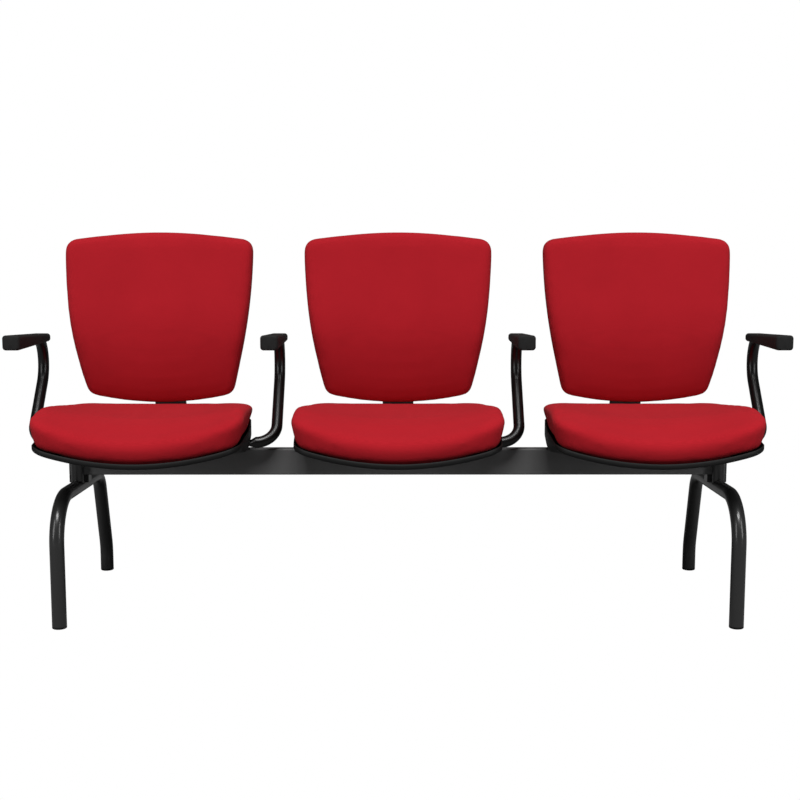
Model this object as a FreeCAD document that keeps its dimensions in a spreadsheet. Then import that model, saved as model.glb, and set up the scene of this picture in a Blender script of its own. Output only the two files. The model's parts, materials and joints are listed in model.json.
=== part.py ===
import FreeCAD, Part
import math
import os

import Sketcher

# Beam seating: three upholstered seats with backs and four loop arms on one steel beam, carried by two bent
# tube legs. Millimetres. X runs along the beam, Y to the rear, Z up. The origin lies on the floor, half way
# along the beam, in the plane of the beam's front face.

SIZES = [
    # beam
    ("beam_height", 60),
    ("beam_depth", 30),
    ("beam_wall", 2),
    ("beam_corner_radius", 3),
    ("beam_level", 294),
    ("cap_flange", 2),
    ("cap_plug_depth", 12),
    ("cap_plug_wall", 2),
    ("cap_plug_clearance", 0.1),
    # legs
    ("leg_spacing", 1465),
    ("leg_diameter", 31.75),
    ("leg_wall", 2),
    ("front_foot_reach", 221.5),
    ("rear_foot_reach", 269.5),
    ("front_bend_level", 280),
    ("front_bend_radius", 95),
    ("rear_bend_reach", 203),
    ("rear_bend_level", 260),
    ("rear_bend_radius", 60),
    ("heel_level", 62),
    ("heel_radius", 120),
    ("glide_height", 5),
    ("glide_spigot", 16),
    ("glide_edge", 2),
    ("glide_clearance", 0.1),
    ("post_diameter", 28),
    ("post_height", 53),
    ("post_cap_height", 2.5),
    ("post_cap_pin", 8),
    ("post_cap_pin_length", 3),
    ("saddle_width", 44),
    ("leg_bolt_low", 15),
    ("leg_bolt_rise", 30),
    ("leg_bolt_grip", 14),
    # bolts
    ("bolt_diameter", 8),
    ("bolt_head", 13),
    ("bolt_head_height", 5.3),
    ("bolt_nut_height", 6.5),
    ("washer_diameter", 16),
    ("washer_thickness", 1.6),
    ("hole_clearance", 0.6),
    ("thread_clearance", 0.1),
    ("screw_diameter", 5),
    ("screw_head", 9),
    ("screw_head_height", 2.8),
    # seats
    ("seat_pitch", 554),
    ("bracket_width", 180),
    ("bracket_thickness", 4),
    ("bracket_front", 70),
    ("bracket_rear", 122),
    ("bracket_flange", 26),
    ("bracket_bolt_drop", 14),
    ("bracket_bolt_spacing", 120),
    ("shell_skin", 3),
    ("shell_front", 287.5),
    ("shell_rear", 122),
    ("shell_corner_inset", 13),
    ("shell_corner_drop", 12.5),
    ("shell_corner_radius", 50),
    ("shell_half_width", 226),
    ("shell_widest_reach", 130),
    ("shell_rear_inset", 19),
    ("shell_rear_radius", 45),
    ("shell_rim", 16.3),
    ("shell_front_rise", 46),
    ("shell_rear_rise", 22),
    ("shell_side_wall", 60),
    ("shell_blend_front", 226),
    ("shell_blend_rear", 150),
    ("boss_diameter", 18),
    ("seat_bolt_spacing", 140),
    ("seat_bolt_reach", 48),
    ("board_thickness", 12),
    ("board_lift", 12),
    ("board_front", 258),
    ("board_front_half_width", 104),
    ("board_shoulder_reach", 140),
    ("board_half_width", 180),
    ("board_rear", 100),
    ("board_radius", 30),
    ("cushion_front", 289),
    ("cushion_corner_inset", 5),
    ("cushion_corner_drop", 12),
    ("cushion_corner_radius", 80),
    ("cushion_half_width", 231.5),
    ("cushion_widest_reach", 90),
    ("cushion_rear", 125),
    ("cushion_rear_inset", 21),
    ("cushion_rear_radius", 45),
    ("cushion_face_height", 24),
    ("cushion_roll_depth", 30),
    ("cushion_roll_height", 54),
    ("cushion_height", 73),
    ("cushion_dish", 16.7),
    ("cushion_front_drop", 8),
    ("cushion_front_dish", 32),
    ("cushion_rear_slope", 5),
    ("cushion_rear_drop", 24),
    ("soft_clearance", 0.3),
    ("front_bow", 0.55),
    ("side_bow", 0.45),
    # backs
    ("back_top", 843.5),
    ("back_bottom", 448),
    ("back_top_reach", 146.5),
    ("back_lumbar_level", 583.6),
    ("back_lumbar_reach", 82),
    ("back_lumbar_radius", 400),
    ("back_bottom_reach", 130),
    ("back_half_width", 221),
    ("back_top_drop", 17.5),
    ("back_top_radius", 34),
    ("back_top_bow", 0.68),
    ("back_side_share", 0.495),
    ("back_side_inset", 1.5),
    ("back_side_bow", 0.8),
    ("back_bottom_inset", 51),
    ("back_bottom_rise", 22.5),
    ("back_bottom_radius", 34),
    ("back_bottom_bow", 0.82),
    ("back_cushion_thickness", 45),
    ("back_shell_depth", 20),
    ("back_board_thickness", 10),
    ("back_board_inset", 12),
    ("back_boss_width", 90),
    ("back_boss_height", 90),
    # blades
    ("blade_width", 75),
    ("blade_thickness", 6),
    ("blade_start", 36),
    ("blade_heel_reach", 255),
    ("blade_heel_radius", 55),
    ("blade_neck_level", 600),
    ("blade_neck_radius", 80),
    ("blade_top", 690),
    ("blade_stand_off", 36),
    ("blade_bolt_spacing", 44),
    ("blade_bolt_reach", 60),
    ("blade_bolt_pitch", 36),
    ("back_bolt_level", 625),
    ("back_bolt_pitch", 42),
    ("back_bolt_stop", 26),
    # arms
    ("arm_diameter", 25.4),
    ("arm_wall", 2),
    ("arm_foot_reach", 25),
    ("arm_foot_level", 374),
    ("arm_foot_thickness", 5),
    ("arm_foot_width", 38),
    ("arm_foot_end", 120),
    ("arm_neck_length", 23),
    ("arm_foot_bend", 46),
    ("arm_bolt_inset", 15),
    ("arm_bolt_pitch", 30),
    ("arm_lean", 41.4),
    ("arm_elbow_level", 551.5),
    ("arm_elbow_radius", 70),
    ("arm_top_lean", 50),
    ("arm_top_level", 596),
    ("arm_plate_thickness", 3),
    ("arm_plate_width", 26),
    ("arm_plate_front", 30),
    ("arm_plate_rear", 97),
    ("pad_width", 35),
    ("pad_front", 166),
    ("pad_rear", 102),
    ("pad_front_top", 628),
    ("pad_rear_top", 610),
    ("pad_front_bottom", 599),
    ("pad_rear_bottom", 594),
    ("pad_corner_radius", 8),
    ("pad_nose_radius", 10),
    ("pad_screw_reach", 16),
    ("pad_screw_pitch", 44),
    ("pad_screw_bite", 9),
]

SEATS = {"left": -1, "middle": 0, "right": 1}
SIDES = {"left": -1, "right": 1}

doc = FreeCAD.newDocument("beam_seating")
sheet = doc.addObject("Spreadsheet::Sheet", "sizes")


class Term:
    """A length worked out from the sheet: its value now, and the expression that binds it."""

    def __init__(self, value, text):
        self.value = value
        self.text = text

    def __add__(self, other):
        other = term(other)
        return Term(self.value + other.value, f"({self.text} + {other.text})")

    def __sub__(self, other):
        other = term(other)
        return Term(self.value - other.value, f"({self.text} - {other.text})")

    def __mul__(self, other):
        other = term(other)
        return Term(self.value * other.value, f"({self.text} * {other.text})")

    def __truediv__(self, other):
        other = term(other)
        return Term(self.value / other.value, f"({self.text} / {other.text})")

    def __neg__(self):
        return self * -1


def term(item):
    """A plain number as a term, or the term itself."""
    return item if isinstance(item, Term) else Term(float(item), f"({float(item)})")


class Sizes:
    """Every cell of the sheet as an attribute of the same name."""


def fill_sheet():
    """Write the driving sizes to the sheet, one row each, and give them back as terms."""
    sizes = Sizes()
    for row, (name, value) in enumerate(SIZES, start=1):
        sheet.set(f"A{row}", name)
        sheet.set(f"B{row}", str(value))
        sheet.setAlias(f"B{row}", name)
        setattr(sizes, name, Term(float(value), f"<<sizes>>.{name}"))
    doc.recompute()
    return sizes


s = fill_sheet()

# Levels and places that several pieces share
beam_top = s.beam_level + s.beam_height
leg_place = s.leg_spacing / 2
beam_half = leg_place + s.saddle_width / 2 - s.cap_flange
floor_level = beam_top + s.bracket_thickness
board_level = floor_level + s.shell_skin + s.board_lift
board_top = board_level + s.board_thickness
rim_level = floor_level + s.shell_rim
blade_level = beam_top - s.blade_thickness / 2
blade_back = s.back_lumbar_reach + s.back_shell_depth + s.blade_stand_off
blade_face = blade_back - s.blade_thickness / 2
arm_place = s.seat_pitch / 2
far = s.seat_pitch
section_half = s.cushion_half_width + s.cushion_roll_depth

ROTATIONS = {
    "XY": FreeCAD.Rotation(),
    "XZ": FreeCAD.Rotation(FreeCAD.Vector(1, 0, 0), 90),
    "YZ": FreeCAD.Rotation(FreeCAD.Vector(1, 1, 1), 120),
}
NORMALS = {"XY": "z", "XZ": "y", "YZ": "x"}
DIRECTIONS = {"x": FreeCAD.Vector(1, 0, 0), "y": FreeCAD.Vector(0, 1, 0), "z": FreeCAD.Vector(0, 0, 1)}
TURNS = {
    "x": FreeCAD.Rotation(FreeCAD.Vector(0, 1, 0), 90),
    "y": FreeCAD.Rotation(FreeCAD.Vector(1, 0, 0), -90),
    "z": FreeCAD.Rotation(),
}


def bind(thing, prop, value):
    """Bind one property of an object to a term."""
    thing.setExpression(prop, term(value).text)


def place(thing, spot, turn=FreeCAD.Rotation()):
    """Turn an object and bind its place to three terms."""
    values = [term(item) for item in spot]
    thing.Placement = FreeCAD.Placement(FreeCAD.Vector(*[item.value for item in values]), turn)
    for axis, value in zip("xyz", values):
        bind(thing, f"Placement.Base.{axis}", value)


def box(name, low, size):
    """A block from its low corner and its three edges."""
    block = doc.addObject("Part::Box", name)
    place(block, low)
    for prop, value in zip(("Length", "Width", "Height"), size):
        bind(block, prop, value)
    return block


def rod(name, start, axis, diameter, length):
    """A round bar from its start along an axis."""
    bar = doc.addObject("Part::Cylinder", name)
    place(bar, start, TURNS[axis])
    bind(bar, "Radius", term(diameter) / 2)
    bind(bar, "Height", length)
    return bar


def fuse(name, pieces):
    """Several touching solids joined to one."""
    joined = doc.addObject("Part::MultiFuse", name)
    joined.Shapes = pieces
    joined.Refine = True
    return joined


def common(name, pieces):
    """What several solids share."""
    shared = doc.addObject("Part::MultiCommon", name)
    shared.Shapes = pieces
    return shared


def group(name, pieces):
    """Separate solids kept apart in one object."""
    bundle = doc.addObject("Part::Compound", name)
    bundle.Links = pieces
    return bundle


def cut(name, base, tools):
    """A solid with tools taken away."""
    remainder = doc.addObject("Part::Cut", name)
    remainder.Base = base
    remainder.Tool = tools[0] if len(tools) == 1 else group(f"{name}_tools", tools)
    return remainder


def corner_arc(before, corner, after, radius):
    """Tangent points, centre and side of the arc that rounds one corner."""
    along = (corner - before).normalize()
    onward = (after - corner).normalize()
    turn = along.getAngle(onward)
    reach = radius * math.tan(turn / 2)
    side = 1 if along.cross(onward).z > 0 else -1
    start = corner - along * reach
    centre = start + FreeCAD.Vector(-along.y, along.x, 0) * radius * side
    return start, corner + onward * reach, centre, side


def pin(sketch, geometry, point, x, y):
    """Bind one point of a sketch to its two coordinates."""
    for kind, value in (("DistanceX", x), ("DistanceY", y)):
        index = sketch.addConstraint(Sketcher.Constraint(kind, -1, 1, geometry, point, term(value).value))
        bind(sketch, f"Constraints[{index}]", value)


def draw(sketch, corners, closed=True):
    """Straight lines through corners (x, y, radius), where a tangent arc rounds each corner with a radius."""
    spots = [FreeCAD.Vector(term(x).value, term(y).value, 0) for x, y, _ in corners]
    count = len(corners)
    rounds = {}
    for index, (_, _, radius) in enumerate(corners):
        if radius is not None:
            after = spots[(index + 1) % count]
            rounds[index] = corner_arc(spots[index - 1], spots[index], after, radius.value)
    lines = []
    for index in range(count if closed else count - 1):
        ahead = (index + 1) % count
        start = rounds[index][1] if index in rounds else spots[index]
        end = rounds[ahead][0] if ahead in rounds else spots[ahead]
        lines.append(sketch.addGeometry(Part.LineSegment(start, end)))
    for index, (x, y, radius) in enumerate(corners):
        line_in = lines[index - 1] if closed or index > 0 else None
        line_out = lines[index] if closed or index < count - 1 else None
        if index not in rounds:
            held, point = (line_out, 1) if line_out is not None else (line_in, 2)
            pin(sketch, held, point, x, y)
            if line_in is not None and line_out is not None:
                sketch.addConstraint(Sketcher.Constraint("Coincident", line_in, 2, line_out, 1))
            continue
        start, end, centre, side = rounds[index]
        first, last = (start, end) if side > 0 else (end, start)
        angles = [math.atan2(spot.y - centre.y, spot.x - centre.x) for spot in (first, last)]
        circle = Part.Circle(centre, FreeCAD.Vector(0, 0, 1), radius.value)
        arc = sketch.addGeometry(Part.ArcOfCircle(circle, *angles))
        ends = (1, 2) if side > 0 else (2, 1)
        sketch.addConstraint(Sketcher.Constraint("Tangent", line_in, 2, arc, ends[0]))
        sketch.addConstraint(Sketcher.Constraint("Tangent", arc, ends[1], line_out, 1))
        size = sketch.addConstraint(Sketcher.Constraint("Radius", arc, radius.value))
        bind(sketch, f"Constraints[{size}]", radius)
        apex = sketch.addGeometry(Part.Point(spots[index]), True)
        pin(sketch, apex, 1, x, y)
        sketch.addConstraint(Sketcher.Constraint("PointOnObject", apex, 1, line_in))
        sketch.addConstraint(Sketcher.Constraint("PointOnObject", apex, 1, line_out))


def draw_circle(sketch, x, y, diameter):
    """A circle bound to its centre and diameter."""
    centre = FreeCAD.Vector(term(x).value, term(y).value, 0)
    radius = term(diameter) / 2
    circle = sketch.addGeometry(Part.Circle(centre, FreeCAD.Vector(0, 0, 1), radius.value))
    pin(sketch, circle, 3, x, y)
    size = sketch.addConstraint(Sketcher.Constraint("Radius", circle, radius.value))
    bind(sketch, f"Constraints[{size}]", radius)


def draw_arc(sketch, ends, middle):
    """An arc from one end to the other that passes a middle point."""
    spots = [FreeCAD.Vector(x.value, y.value, 0) for x, y in (ends[0], middle, ends[1])]
    rounded = Part.Arc(*spots).toShape().Curve
    centre = rounded.Center
    side = (spots[1] - spots[0]).cross(spots[2] - spots[1]).z
    order = (0, 2) if side > 0 else (2, 0)
    angles = [math.atan2(spots[i].y - centre.y, spots[i].x - centre.x) for i in order]
    flat = Part.Circle(centre, FreeCAD.Vector(0, 0, 1), rounded.Radius)
    arc = sketch.addGeometry(Part.ArcOfCircle(flat, *angles))
    points = (1, 2) if side > 0 else (2, 1)
    for point, (x, y) in zip(points, ends):
        pin(sketch, arc, point, x, y)
    crown = sketch.addGeometry(Part.Point(spots[1]), True)
    pin(sketch, crown, 1, *middle)
    sketch.addConstraint(Sketcher.Constraint("PointOnObject", crown, 1, arc))
    return arc, points


def free_sketch(name, plane, offset):
    """A sketch that lies in a plane at an offset along that plane's axis."""
    sketch = doc.addObject("Sketcher::SketchObject", name)
    spot = {"x": term(0), "y": term(0), "z": term(0)}
    spot[NORMALS[plane]] = term(offset)
    place(sketch, (spot["x"], spot["y"], spot["z"]), ROTATIONS[plane])
    return sketch


def body_sketch(body, name, plane, offset=0):
    """A sketch on one of a body's own origin planes, moved along the plane's normal."""
    sketch = body.newObject("Sketcher::SketchObject", name)
    support = [item for item in body.Origin.OriginFeatures if item.Role == f"{plane}_Plane"][0]
    sketch.AttachmentSupport = [(support, "")]
    sketch.MapMode = "FlatFace"
    bind(sketch, "AttachmentOffset.Base.z", offset)
    return sketch


def prism(name, plane, corners, start, length):
    """An outline in a plane, carried straight along that plane's axis from a start for a length."""
    sketch = free_sketch(f"{name}_outline", plane, start)
    draw(sketch, corners)
    solid = doc.addObject("Part::Extrusion", name)
    solid.Base = sketch
    solid.DirMode = "Custom"
    solid.Dir = DIRECTIONS[NORMALS[plane]]
    solid.Solid = True
    bind(solid, "LengthFwd", length)
    return solid


def mirrored(half):
    """A closed outline from its right half, whose first and last corners lie on the middle line."""
    left = [(-x, y, radius) for x, y, radius in reversed(half[1:-1])]
    return half + left


def end_bow(half_width, drop, share):
    """How far a bowed end's apex lies beyond its corners, and the radius that rounds a share of it."""
    rise = drop / (term(1) - share / 2)
    return rise, share * half_width * half_width / rise


def side_bow(low, middle, high, share):
    """The radius that rounds the corner between two others over a share of the run from the low one."""
    run = middle[1] - low[1]
    turn = (middle[0] - low[0]) / run + (middle[0] - high[0]) / (high[1] - middle[1])
    return share * run * 2 / turn


def offset_half(half, inset):
    """A right half outline moved inwards by an inset along both axes."""
    moved = []
    middle = sum(term(y).value for _, y, _ in half) / len(half)
    for x, y, radius in half:
        inner_x = x if term(x).value == 0 else x - inset
        inner_y = term(y) + inset if term(y).value < middle else term(y) - inset
        moved.append((inner_x, inner_y, radius))
    return moved


def across_loft(name, sections):
    """A solid through upright sections (reach, floor, floor rise, top, top rise), arched below and above."""
    sketches = []
    for index, (reach, floor, floor_rise, top, top_rise) in enumerate(sections):
        sketch = free_sketch(f"{name}_section_{index}", "XZ", reach)
        low = [(-section_half, floor + floor_rise), (section_half, floor + floor_rise)]
        high = [(-section_half, top + top_rise), (section_half, top + top_rise)]
        arcs = [draw_arc(sketch, ends, (term(0), level)) for ends, level in ((low, floor), (high, top))]
        for end in (0, 1):
            spots = [FreeCAD.Vector(side[end][0].value, side[end][1].value, 0) for side in (low, high)]
            line = sketch.addGeometry(Part.LineSegment(*spots))
            for point, (arc, points) in zip((1, 2), arcs):
                sketch.addConstraint(Sketcher.Constraint("Coincident", line, point, arc, points[end]))
        sketches.append(sketch)
    solid = doc.addObject("Part::Loft", name)
    solid.Sections = sketches
    solid.Solid = True
    solid.Ruled = True
    return solid


def bolt(name, start, axis, diameter, length, head, head_height, washer=True):
    """A bolt whose shank runs along an axis from its seat, with the head and washer behind the seat."""
    spot = {"x": term(start[0]), "y": term(start[1]), "z": term(start[2])}
    way = 1 if term(length).value > 0 else -1
    shank_spot = dict(spot)
    if way < 0:
        shank_spot[axis] = spot[axis] + length
    span = term(length) * way
    parts = [rod(f"{name}_shank", tuple(shank_spot.values()), axis, diameter, span)]
    behind = term(0)
    layers = [("head", head, head_height)]
    if washer:
        layers.insert(0, ("washer", s.washer_diameter, s.washer_thickness))
    for part, wide, tall in layers:
        layer_spot = dict(spot)
        layer_spot[axis] = spot[axis] + behind if way < 0 else spot[axis] - behind - tall
        parts.append(rod(f"{name}_{part}", tuple(layer_spot.values()), axis, wide, tall))
        behind = behind + tall
    return fuse(name, parts)


nodes = []


def node(name, piece, shift=None):
    """Name a finished piece, and bind how far it is moved along the beam."""
    piece.Label = name
    if shift is not None:
        bind(piece, "Placement.Base.x", shift)
    nodes.append((name, piece))


# Beam and its end caps

seat_shifts = {seat: s.seat_pitch * number for seat, number in SEATS.items()}
hole = s.bolt_diameter + s.hole_clearance
bracket_bolt_level = beam_top - s.bracket_bolt_drop
leg_bolt_levels = [s.beam_level + s.leg_bolt_low, s.beam_level + s.leg_bolt_low + s.leg_bolt_rise]


def beam_section(inset, radius):
    """The beam's rectangle in the YZ plane, drawn in by an inset, with rounded corners."""
    front, rear = term(0) + inset, s.beam_depth - inset
    low, high = s.beam_level + inset, beam_top - inset
    return [(front, low, radius), (rear, low, radius), (rear, high, radius), (front, high, radius)]


def make_beam():
    """The rectangular tube with its cross holes for the legs and the seat brackets."""
    outer = prism("beam_outside", "YZ", beam_section(0, s.beam_corner_radius), -beam_half, beam_half * 2)
    inner = prism("beam_inside", "YZ", beam_section(s.beam_wall, s.beam_corner_radius - s.beam_wall),
                  -beam_half - s.beam_wall, (beam_half + s.beam_wall) * 2)
    tube = cut("beam_tube", outer, [inner])
    through = s.beam_depth + s.beam_wall * 2
    holes = []
    for side, sign in SIDES.items():
        for number, level in enumerate(leg_bolt_levels):
            spot = (leg_place * sign, -s.beam_wall, level)
            holes.append(rod(f"beam_leg_hole_{side}_{number}", spot, "y", hole, through))
        for seat, shift in seat_shifts.items():
            spot = (shift + s.bracket_bolt_spacing / 2 * sign, -s.beam_wall, bracket_bolt_level)
            holes.append(rod(f"beam_bracket_hole_{seat}_{side}", spot, "y", hole, through))
    node("beam", cut("beam", tube, holes))


def make_beam_cap(side, sign):
    """A plastic cap: a flange flush with the beam's outside and a hollow plug inside it."""
    start = beam_half * sign
    inset = s.beam_wall + s.cap_plug_clearance
    flange_low = start if sign > 0 else start - s.cap_flange
    flange = prism(f"beam_cap_{side}_flange", "YZ", beam_section(0, s.beam_corner_radius), flange_low,
                   s.cap_flange)
    plug_low = start - s.cap_plug_depth if sign > 0 else start
    plug = prism(f"beam_cap_{side}_plug", "YZ", beam_section(inset, s.beam_corner_radius - s.beam_wall),
                 plug_low, s.cap_plug_depth)
    hollow = prism(f"beam_cap_{side}_hollow", "YZ", beam_section(inset + s.cap_plug_wall, None), plug_low,
                   s.cap_plug_depth)
    sleeve = cut(f"beam_cap_{side}_sleeve", plug, [hollow])
    node(f"beam_cap_{side}", fuse(f"beam_cap_{side}", [flange, sleeve]))


# Legs

def leg_route():
    """The leg's middle line in the YZ plane: front foot, shoulder, rear bend, heel, rear foot."""
    return [
        (-s.front_foot_reach, s.glide_height, None),
        (-s.front_foot_reach, s.front_bend_level, s.front_bend_radius),
        (s.rear_bend_reach, s.rear_bend_level, s.rear_bend_radius),
        (s.rear_foot_reach, s.heel_level, s.heel_radius),
        (s.rear_foot_reach, s.glide_height, None),
    ]


def run_level(reach):
    """Height of the leg's middle line under the beam, at a reach to the rear."""
    slope = (s.rear_bend_level - s.front_bend_level) / (s.rear_bend_reach + s.front_foot_reach)
    return s.front_bend_level + slope * (term(reach) + s.front_foot_reach)


def make_leg_pipe(body, name, kind, diameters):
    """A pipe along the leg's route, added to a body or taken away from it."""
    route = body_sketch(body, f"{name}_route", "YZ")
    draw(route, leg_route(), closed=False)
    ring = body_sketch(body, f"{name}_ring", "XY", s.glide_height)
    for diameter in diameters:
        draw_circle(ring, 0, -s.front_foot_reach, diameter)
    doc.recompute()
    pipe = body.newObject(kind, name)
    pipe.Profile = ring
    pipe.Spine = (route, [f"Edge{number + 1}" for number in range(len(route.Shape.Edges))])
    return pipe


def make_leg(side, sign):
    """The bent tube, the post and saddle that carry the beam on it, and the post's cap."""
    shift = leg_place * sign
    arch = doc.addObject("PartDesign::Body", f"leg_arch_{side}")
    make_leg_pipe(arch, f"leg_tube_{side}", "PartDesign::AdditivePipe",
                  (s.leg_diameter, s.leg_diameter - s.leg_wall * 2))
    node(f"leg_arch_{side}", arch, shift)

    post_bottom = run_level(-s.post_diameter / 2)
    post_top = s.beam_level + s.post_height
    post = doc.addObject("PartDesign::Body", f"leg_post_{side}")
    disc = body_sketch(post, f"post_disc_{side}", "XY", post_bottom)
    draw_circle(disc, 0, -s.post_diameter / 2, s.post_diameter)
    pad = post.newObject("PartDesign::Pad", f"post_bar_{side}")
    pad.Profile = disc
    bind(pad, "Length", post_top - post_bottom)
    doc.recompute()
    make_leg_pipe(post, f"post_cope_{side}", "PartDesign::SubtractivePipe", (s.leg_diameter,))
    doc.recompute()
    bores = [rod(f"post_bore_{side}_{number}", (0, -s.leg_bolt_grip, level), "y",
                 s.bolt_diameter + s.thread_clearance, s.leg_bolt_grip)
             for number, level in enumerate(leg_bolt_levels)]
    pin_base = (0, -s.post_diameter / 2, post_top - s.post_cap_pin_length)
    bores.append(rod(f"post_pin_bore_{side}", pin_base, "z", s.post_cap_pin, s.post_cap_pin_length))
    node(f"leg_post_{side}", cut(f"leg_post_{side}_bored", post, bores), shift)

    head = rod(f"post_cap_head_{side}", (0, -s.post_diameter / 2, post_top), "z", s.post_diameter,
               s.post_cap_height)
    stem = rod(f"post_cap_stem_{side}", pin_base, "z", s.post_cap_pin, s.post_cap_pin_length)
    node(f"post_cap_{side}", fuse(f"post_cap_{side}", [head, stem]), shift)

    saddle = doc.addObject("PartDesign::Body", f"leg_saddle_{side}")
    block = body_sketch(saddle, f"saddle_block_{side}", "YZ", -s.saddle_width / 2)
    base = run_level(s.beam_depth / 2) + s.leg_diameter / 4
    draw(block, [(0, base, None), (s.beam_depth, base, None), (s.beam_depth, s.beam_level, None),
                 (0, s.beam_level, None)])
    pad = saddle.newObject("PartDesign::Pad", f"saddle_bar_{side}")
    pad.Profile = block
    bind(pad, "Length", s.saddle_width)
    doc.recompute()
    make_leg_pipe(saddle, f"saddle_cope_{side}", "PartDesign::SubtractivePipe", (s.leg_diameter,))
    node(f"leg_saddle_{side}", saddle, shift)

    for end, reach in (("front", -s.front_foot_reach), ("rear", s.rear_foot_reach)):
        make_glide(f"foot_glide_{side}_{end}", shift, reach)


def make_glide(name, shift, reach):
    """A turned plastic glide: a rounded foot under the tube's end and a spigot inside it."""
    glide = doc.addObject("PartDesign::Body", name)
    half = body_sketch(glide, f"{name}_half", "XZ")
    foot = s.leg_diameter / 2
    spigot = foot - s.leg_wall - s.glide_clearance
    draw(half, [
        (0, 0, None),
        (foot, 0, s.glide_edge),
        (foot, s.glide_height, None),
        (spigot, s.glide_height, None),
        (spigot, s.glide_height + s.glide_spigot, None),
        (0, s.glide_height + s.glide_spigot, None),
    ])
    turned = glide.newObject("PartDesign::Revolution", f"{name}_turned")
    turned.Profile = half
    turned.ReferenceAxis = (half, ["V_Axis"])
    turned.Angle = 360
    bind(glide, "Placement.Base.y", reach)
    node(name, glide, shift)


def make_leg_bolts():
    """Two bolts a leg, from behind the beam into the post."""
    bolts = []
    for side, sign in SIDES.items():
        for number, level in enumerate(leg_bolt_levels):
            seat = (leg_place * sign, s.beam_depth, level)
            length = -(s.beam_depth + s.leg_bolt_grip - s.thread_clearance)
            bolts.append(bolt(f"leg_bolt_{side}_{number}", seat, "y", s.bolt_diameter, length, s.bolt_head,
                              s.bolt_head_height))
    node("leg_bolts", group("leg_bolts", bolts))


# Seats

def seat_plan(front, corner, corner_radius, widest, rear, rear_radius):
    """Right half of a seat outline from above, front to rear, its front and its side bowed."""
    rise, front_radius = end_bow(corner[0], front - corner[1], s.front_bow)
    side_radius = side_bow((corner[0], -corner[1]), widest, rear, s.side_bow)
    return [
        (term(0), -(corner[1] + rise), front_radius),
        (corner[0], -corner[1], corner_radius),
        (*widest, side_radius),
        (*rear, rear_radius),
        (term(0), rear[1], None),
    ]


def shell_plan():
    """Right half of the seat shell's outline from above."""
    corner = (s.shell_half_width - s.shell_corner_inset, s.shell_front - s.shell_corner_drop)
    rear = (s.shell_half_width - s.shell_rear_inset, s.shell_rear)
    widest = (s.shell_half_width, -s.shell_widest_reach)
    return seat_plan(s.shell_front, corner, s.shell_corner_radius, widest, rear, s.shell_rear_radius)


def cushion_plan():
    """Right half of the cushion's outline from above."""
    corner = (s.cushion_half_width - s.cushion_corner_inset, s.cushion_front - s.cushion_corner_drop)
    rear = (s.cushion_half_width - s.cushion_rear_inset, s.cushion_rear)
    widest = (s.cushion_half_width, -s.cushion_widest_reach)
    return seat_plan(s.cushion_front, corner, s.cushion_corner_radius, widest, rear, s.cushion_rear_radius)


def board_plan():
    """Right half of the seat board's outline from above, front to rear."""
    return [
        (term(0), -s.board_front, None),
        (s.board_front_half_width, -s.board_front, s.board_radius),
        (s.board_half_width, -s.board_shoulder_reach, s.board_radius),
        (s.board_half_width, s.board_rear, s.board_radius),
        (term(0), s.board_rear, None),
    ]


def shell_sections(lift, top_lift):
    """Sections of the space between the shell's floor and its rim, lifted by a skin or opened upwards."""
    floor = floor_level + lift
    front_rim = rim_level + top_lift
    side_rim = floor_level + s.shell_side_wall + top_lift
    rear_crown = s.shell_skin
    return [
        (-s.shell_front - s.shell_rim, floor, s.shell_front_rise, front_rim, s.shell_front_rise),
        (-s.shell_blend_front, floor, s.shell_front_rise, front_rim, s.shell_front_rise),
        (-s.shell_blend_rear, floor, s.shell_rear_rise, side_rim - rear_crown, rear_crown),
        (s.shell_rear + s.shell_rim, floor, s.shell_rear_rise, side_rim - rear_crown, rear_crown),
    ]


seat_bolt_spots = [(s.seat_bolt_spacing / 2 * sign, -s.seat_bolt_reach) for sign in SIDES.values()]
blade_bolt_spots = [(s.blade_bolt_spacing / 2 * sign, s.blade_bolt_reach + s.blade_bolt_pitch * row)
                    for sign in SIDES.values() for row in (0, 1)]


def arm_sides(seat):
    """The sides of a seat that carry an arm: every seat its right, and the left seat both."""
    return ["left", "right"] if seat == "left" else ["right"]


def arm_bolt_spots(seat):
    """Places of the bolts that hold the arm feet to a seat board."""
    spots = []
    for side in arm_sides(seat):
        for row in (0, 1):
            inset = s.arm_foot_end + s.arm_bolt_inset + s.arm_bolt_pitch * row
            spots.append((inset * SIDES[side], -s.arm_foot_reach))
    return spots


def upright_rods(name, spots, level, diameter, length):
    """Upright round bars, one at each place."""
    return [rod(f"{name}_{number}", (x, y, level), "z", diameter, length)
            for number, (x, y) in enumerate(spots)]


def make_bracket(seat, shift):
    """The plate that sits on the beam, with flanges in front of the beam and behind it."""
    name = f"seat_bracket_{seat}"
    thick = s.bracket_thickness
    half = s.bracket_width / 2
    plate = box(f"{name}_plate", (-half, -s.bracket_front, beam_top),
                (s.bracket_width, s.bracket_front + s.bracket_rear, thick))
    parts = [plate]
    for end, reach in (("front", -thick), ("rear", s.beam_depth)):
        parts.append(box(f"{name}_{end}", (-half, reach, beam_top - s.bracket_flange),
                         (s.bracket_width, thick, s.bracket_flange + thick)))
    whole = fuse(f"{name}_folded", parts)
    spots = seat_bolt_spots + blade_bolt_spots
    holes = upright_rods(f"{name}_hole", spots, beam_top - thick, hole, thick * 3)
    for side, sign in SIDES.items():
        spot = (s.bracket_bolt_spacing / 2 * sign, -thick * 2, bracket_bolt_level)
        holes.append(rod(f"{name}_cross_{side}", spot, "y", hole, s.beam_depth + thick * 4))
    node(name, cut(name, whole, holes), shift)


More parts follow.
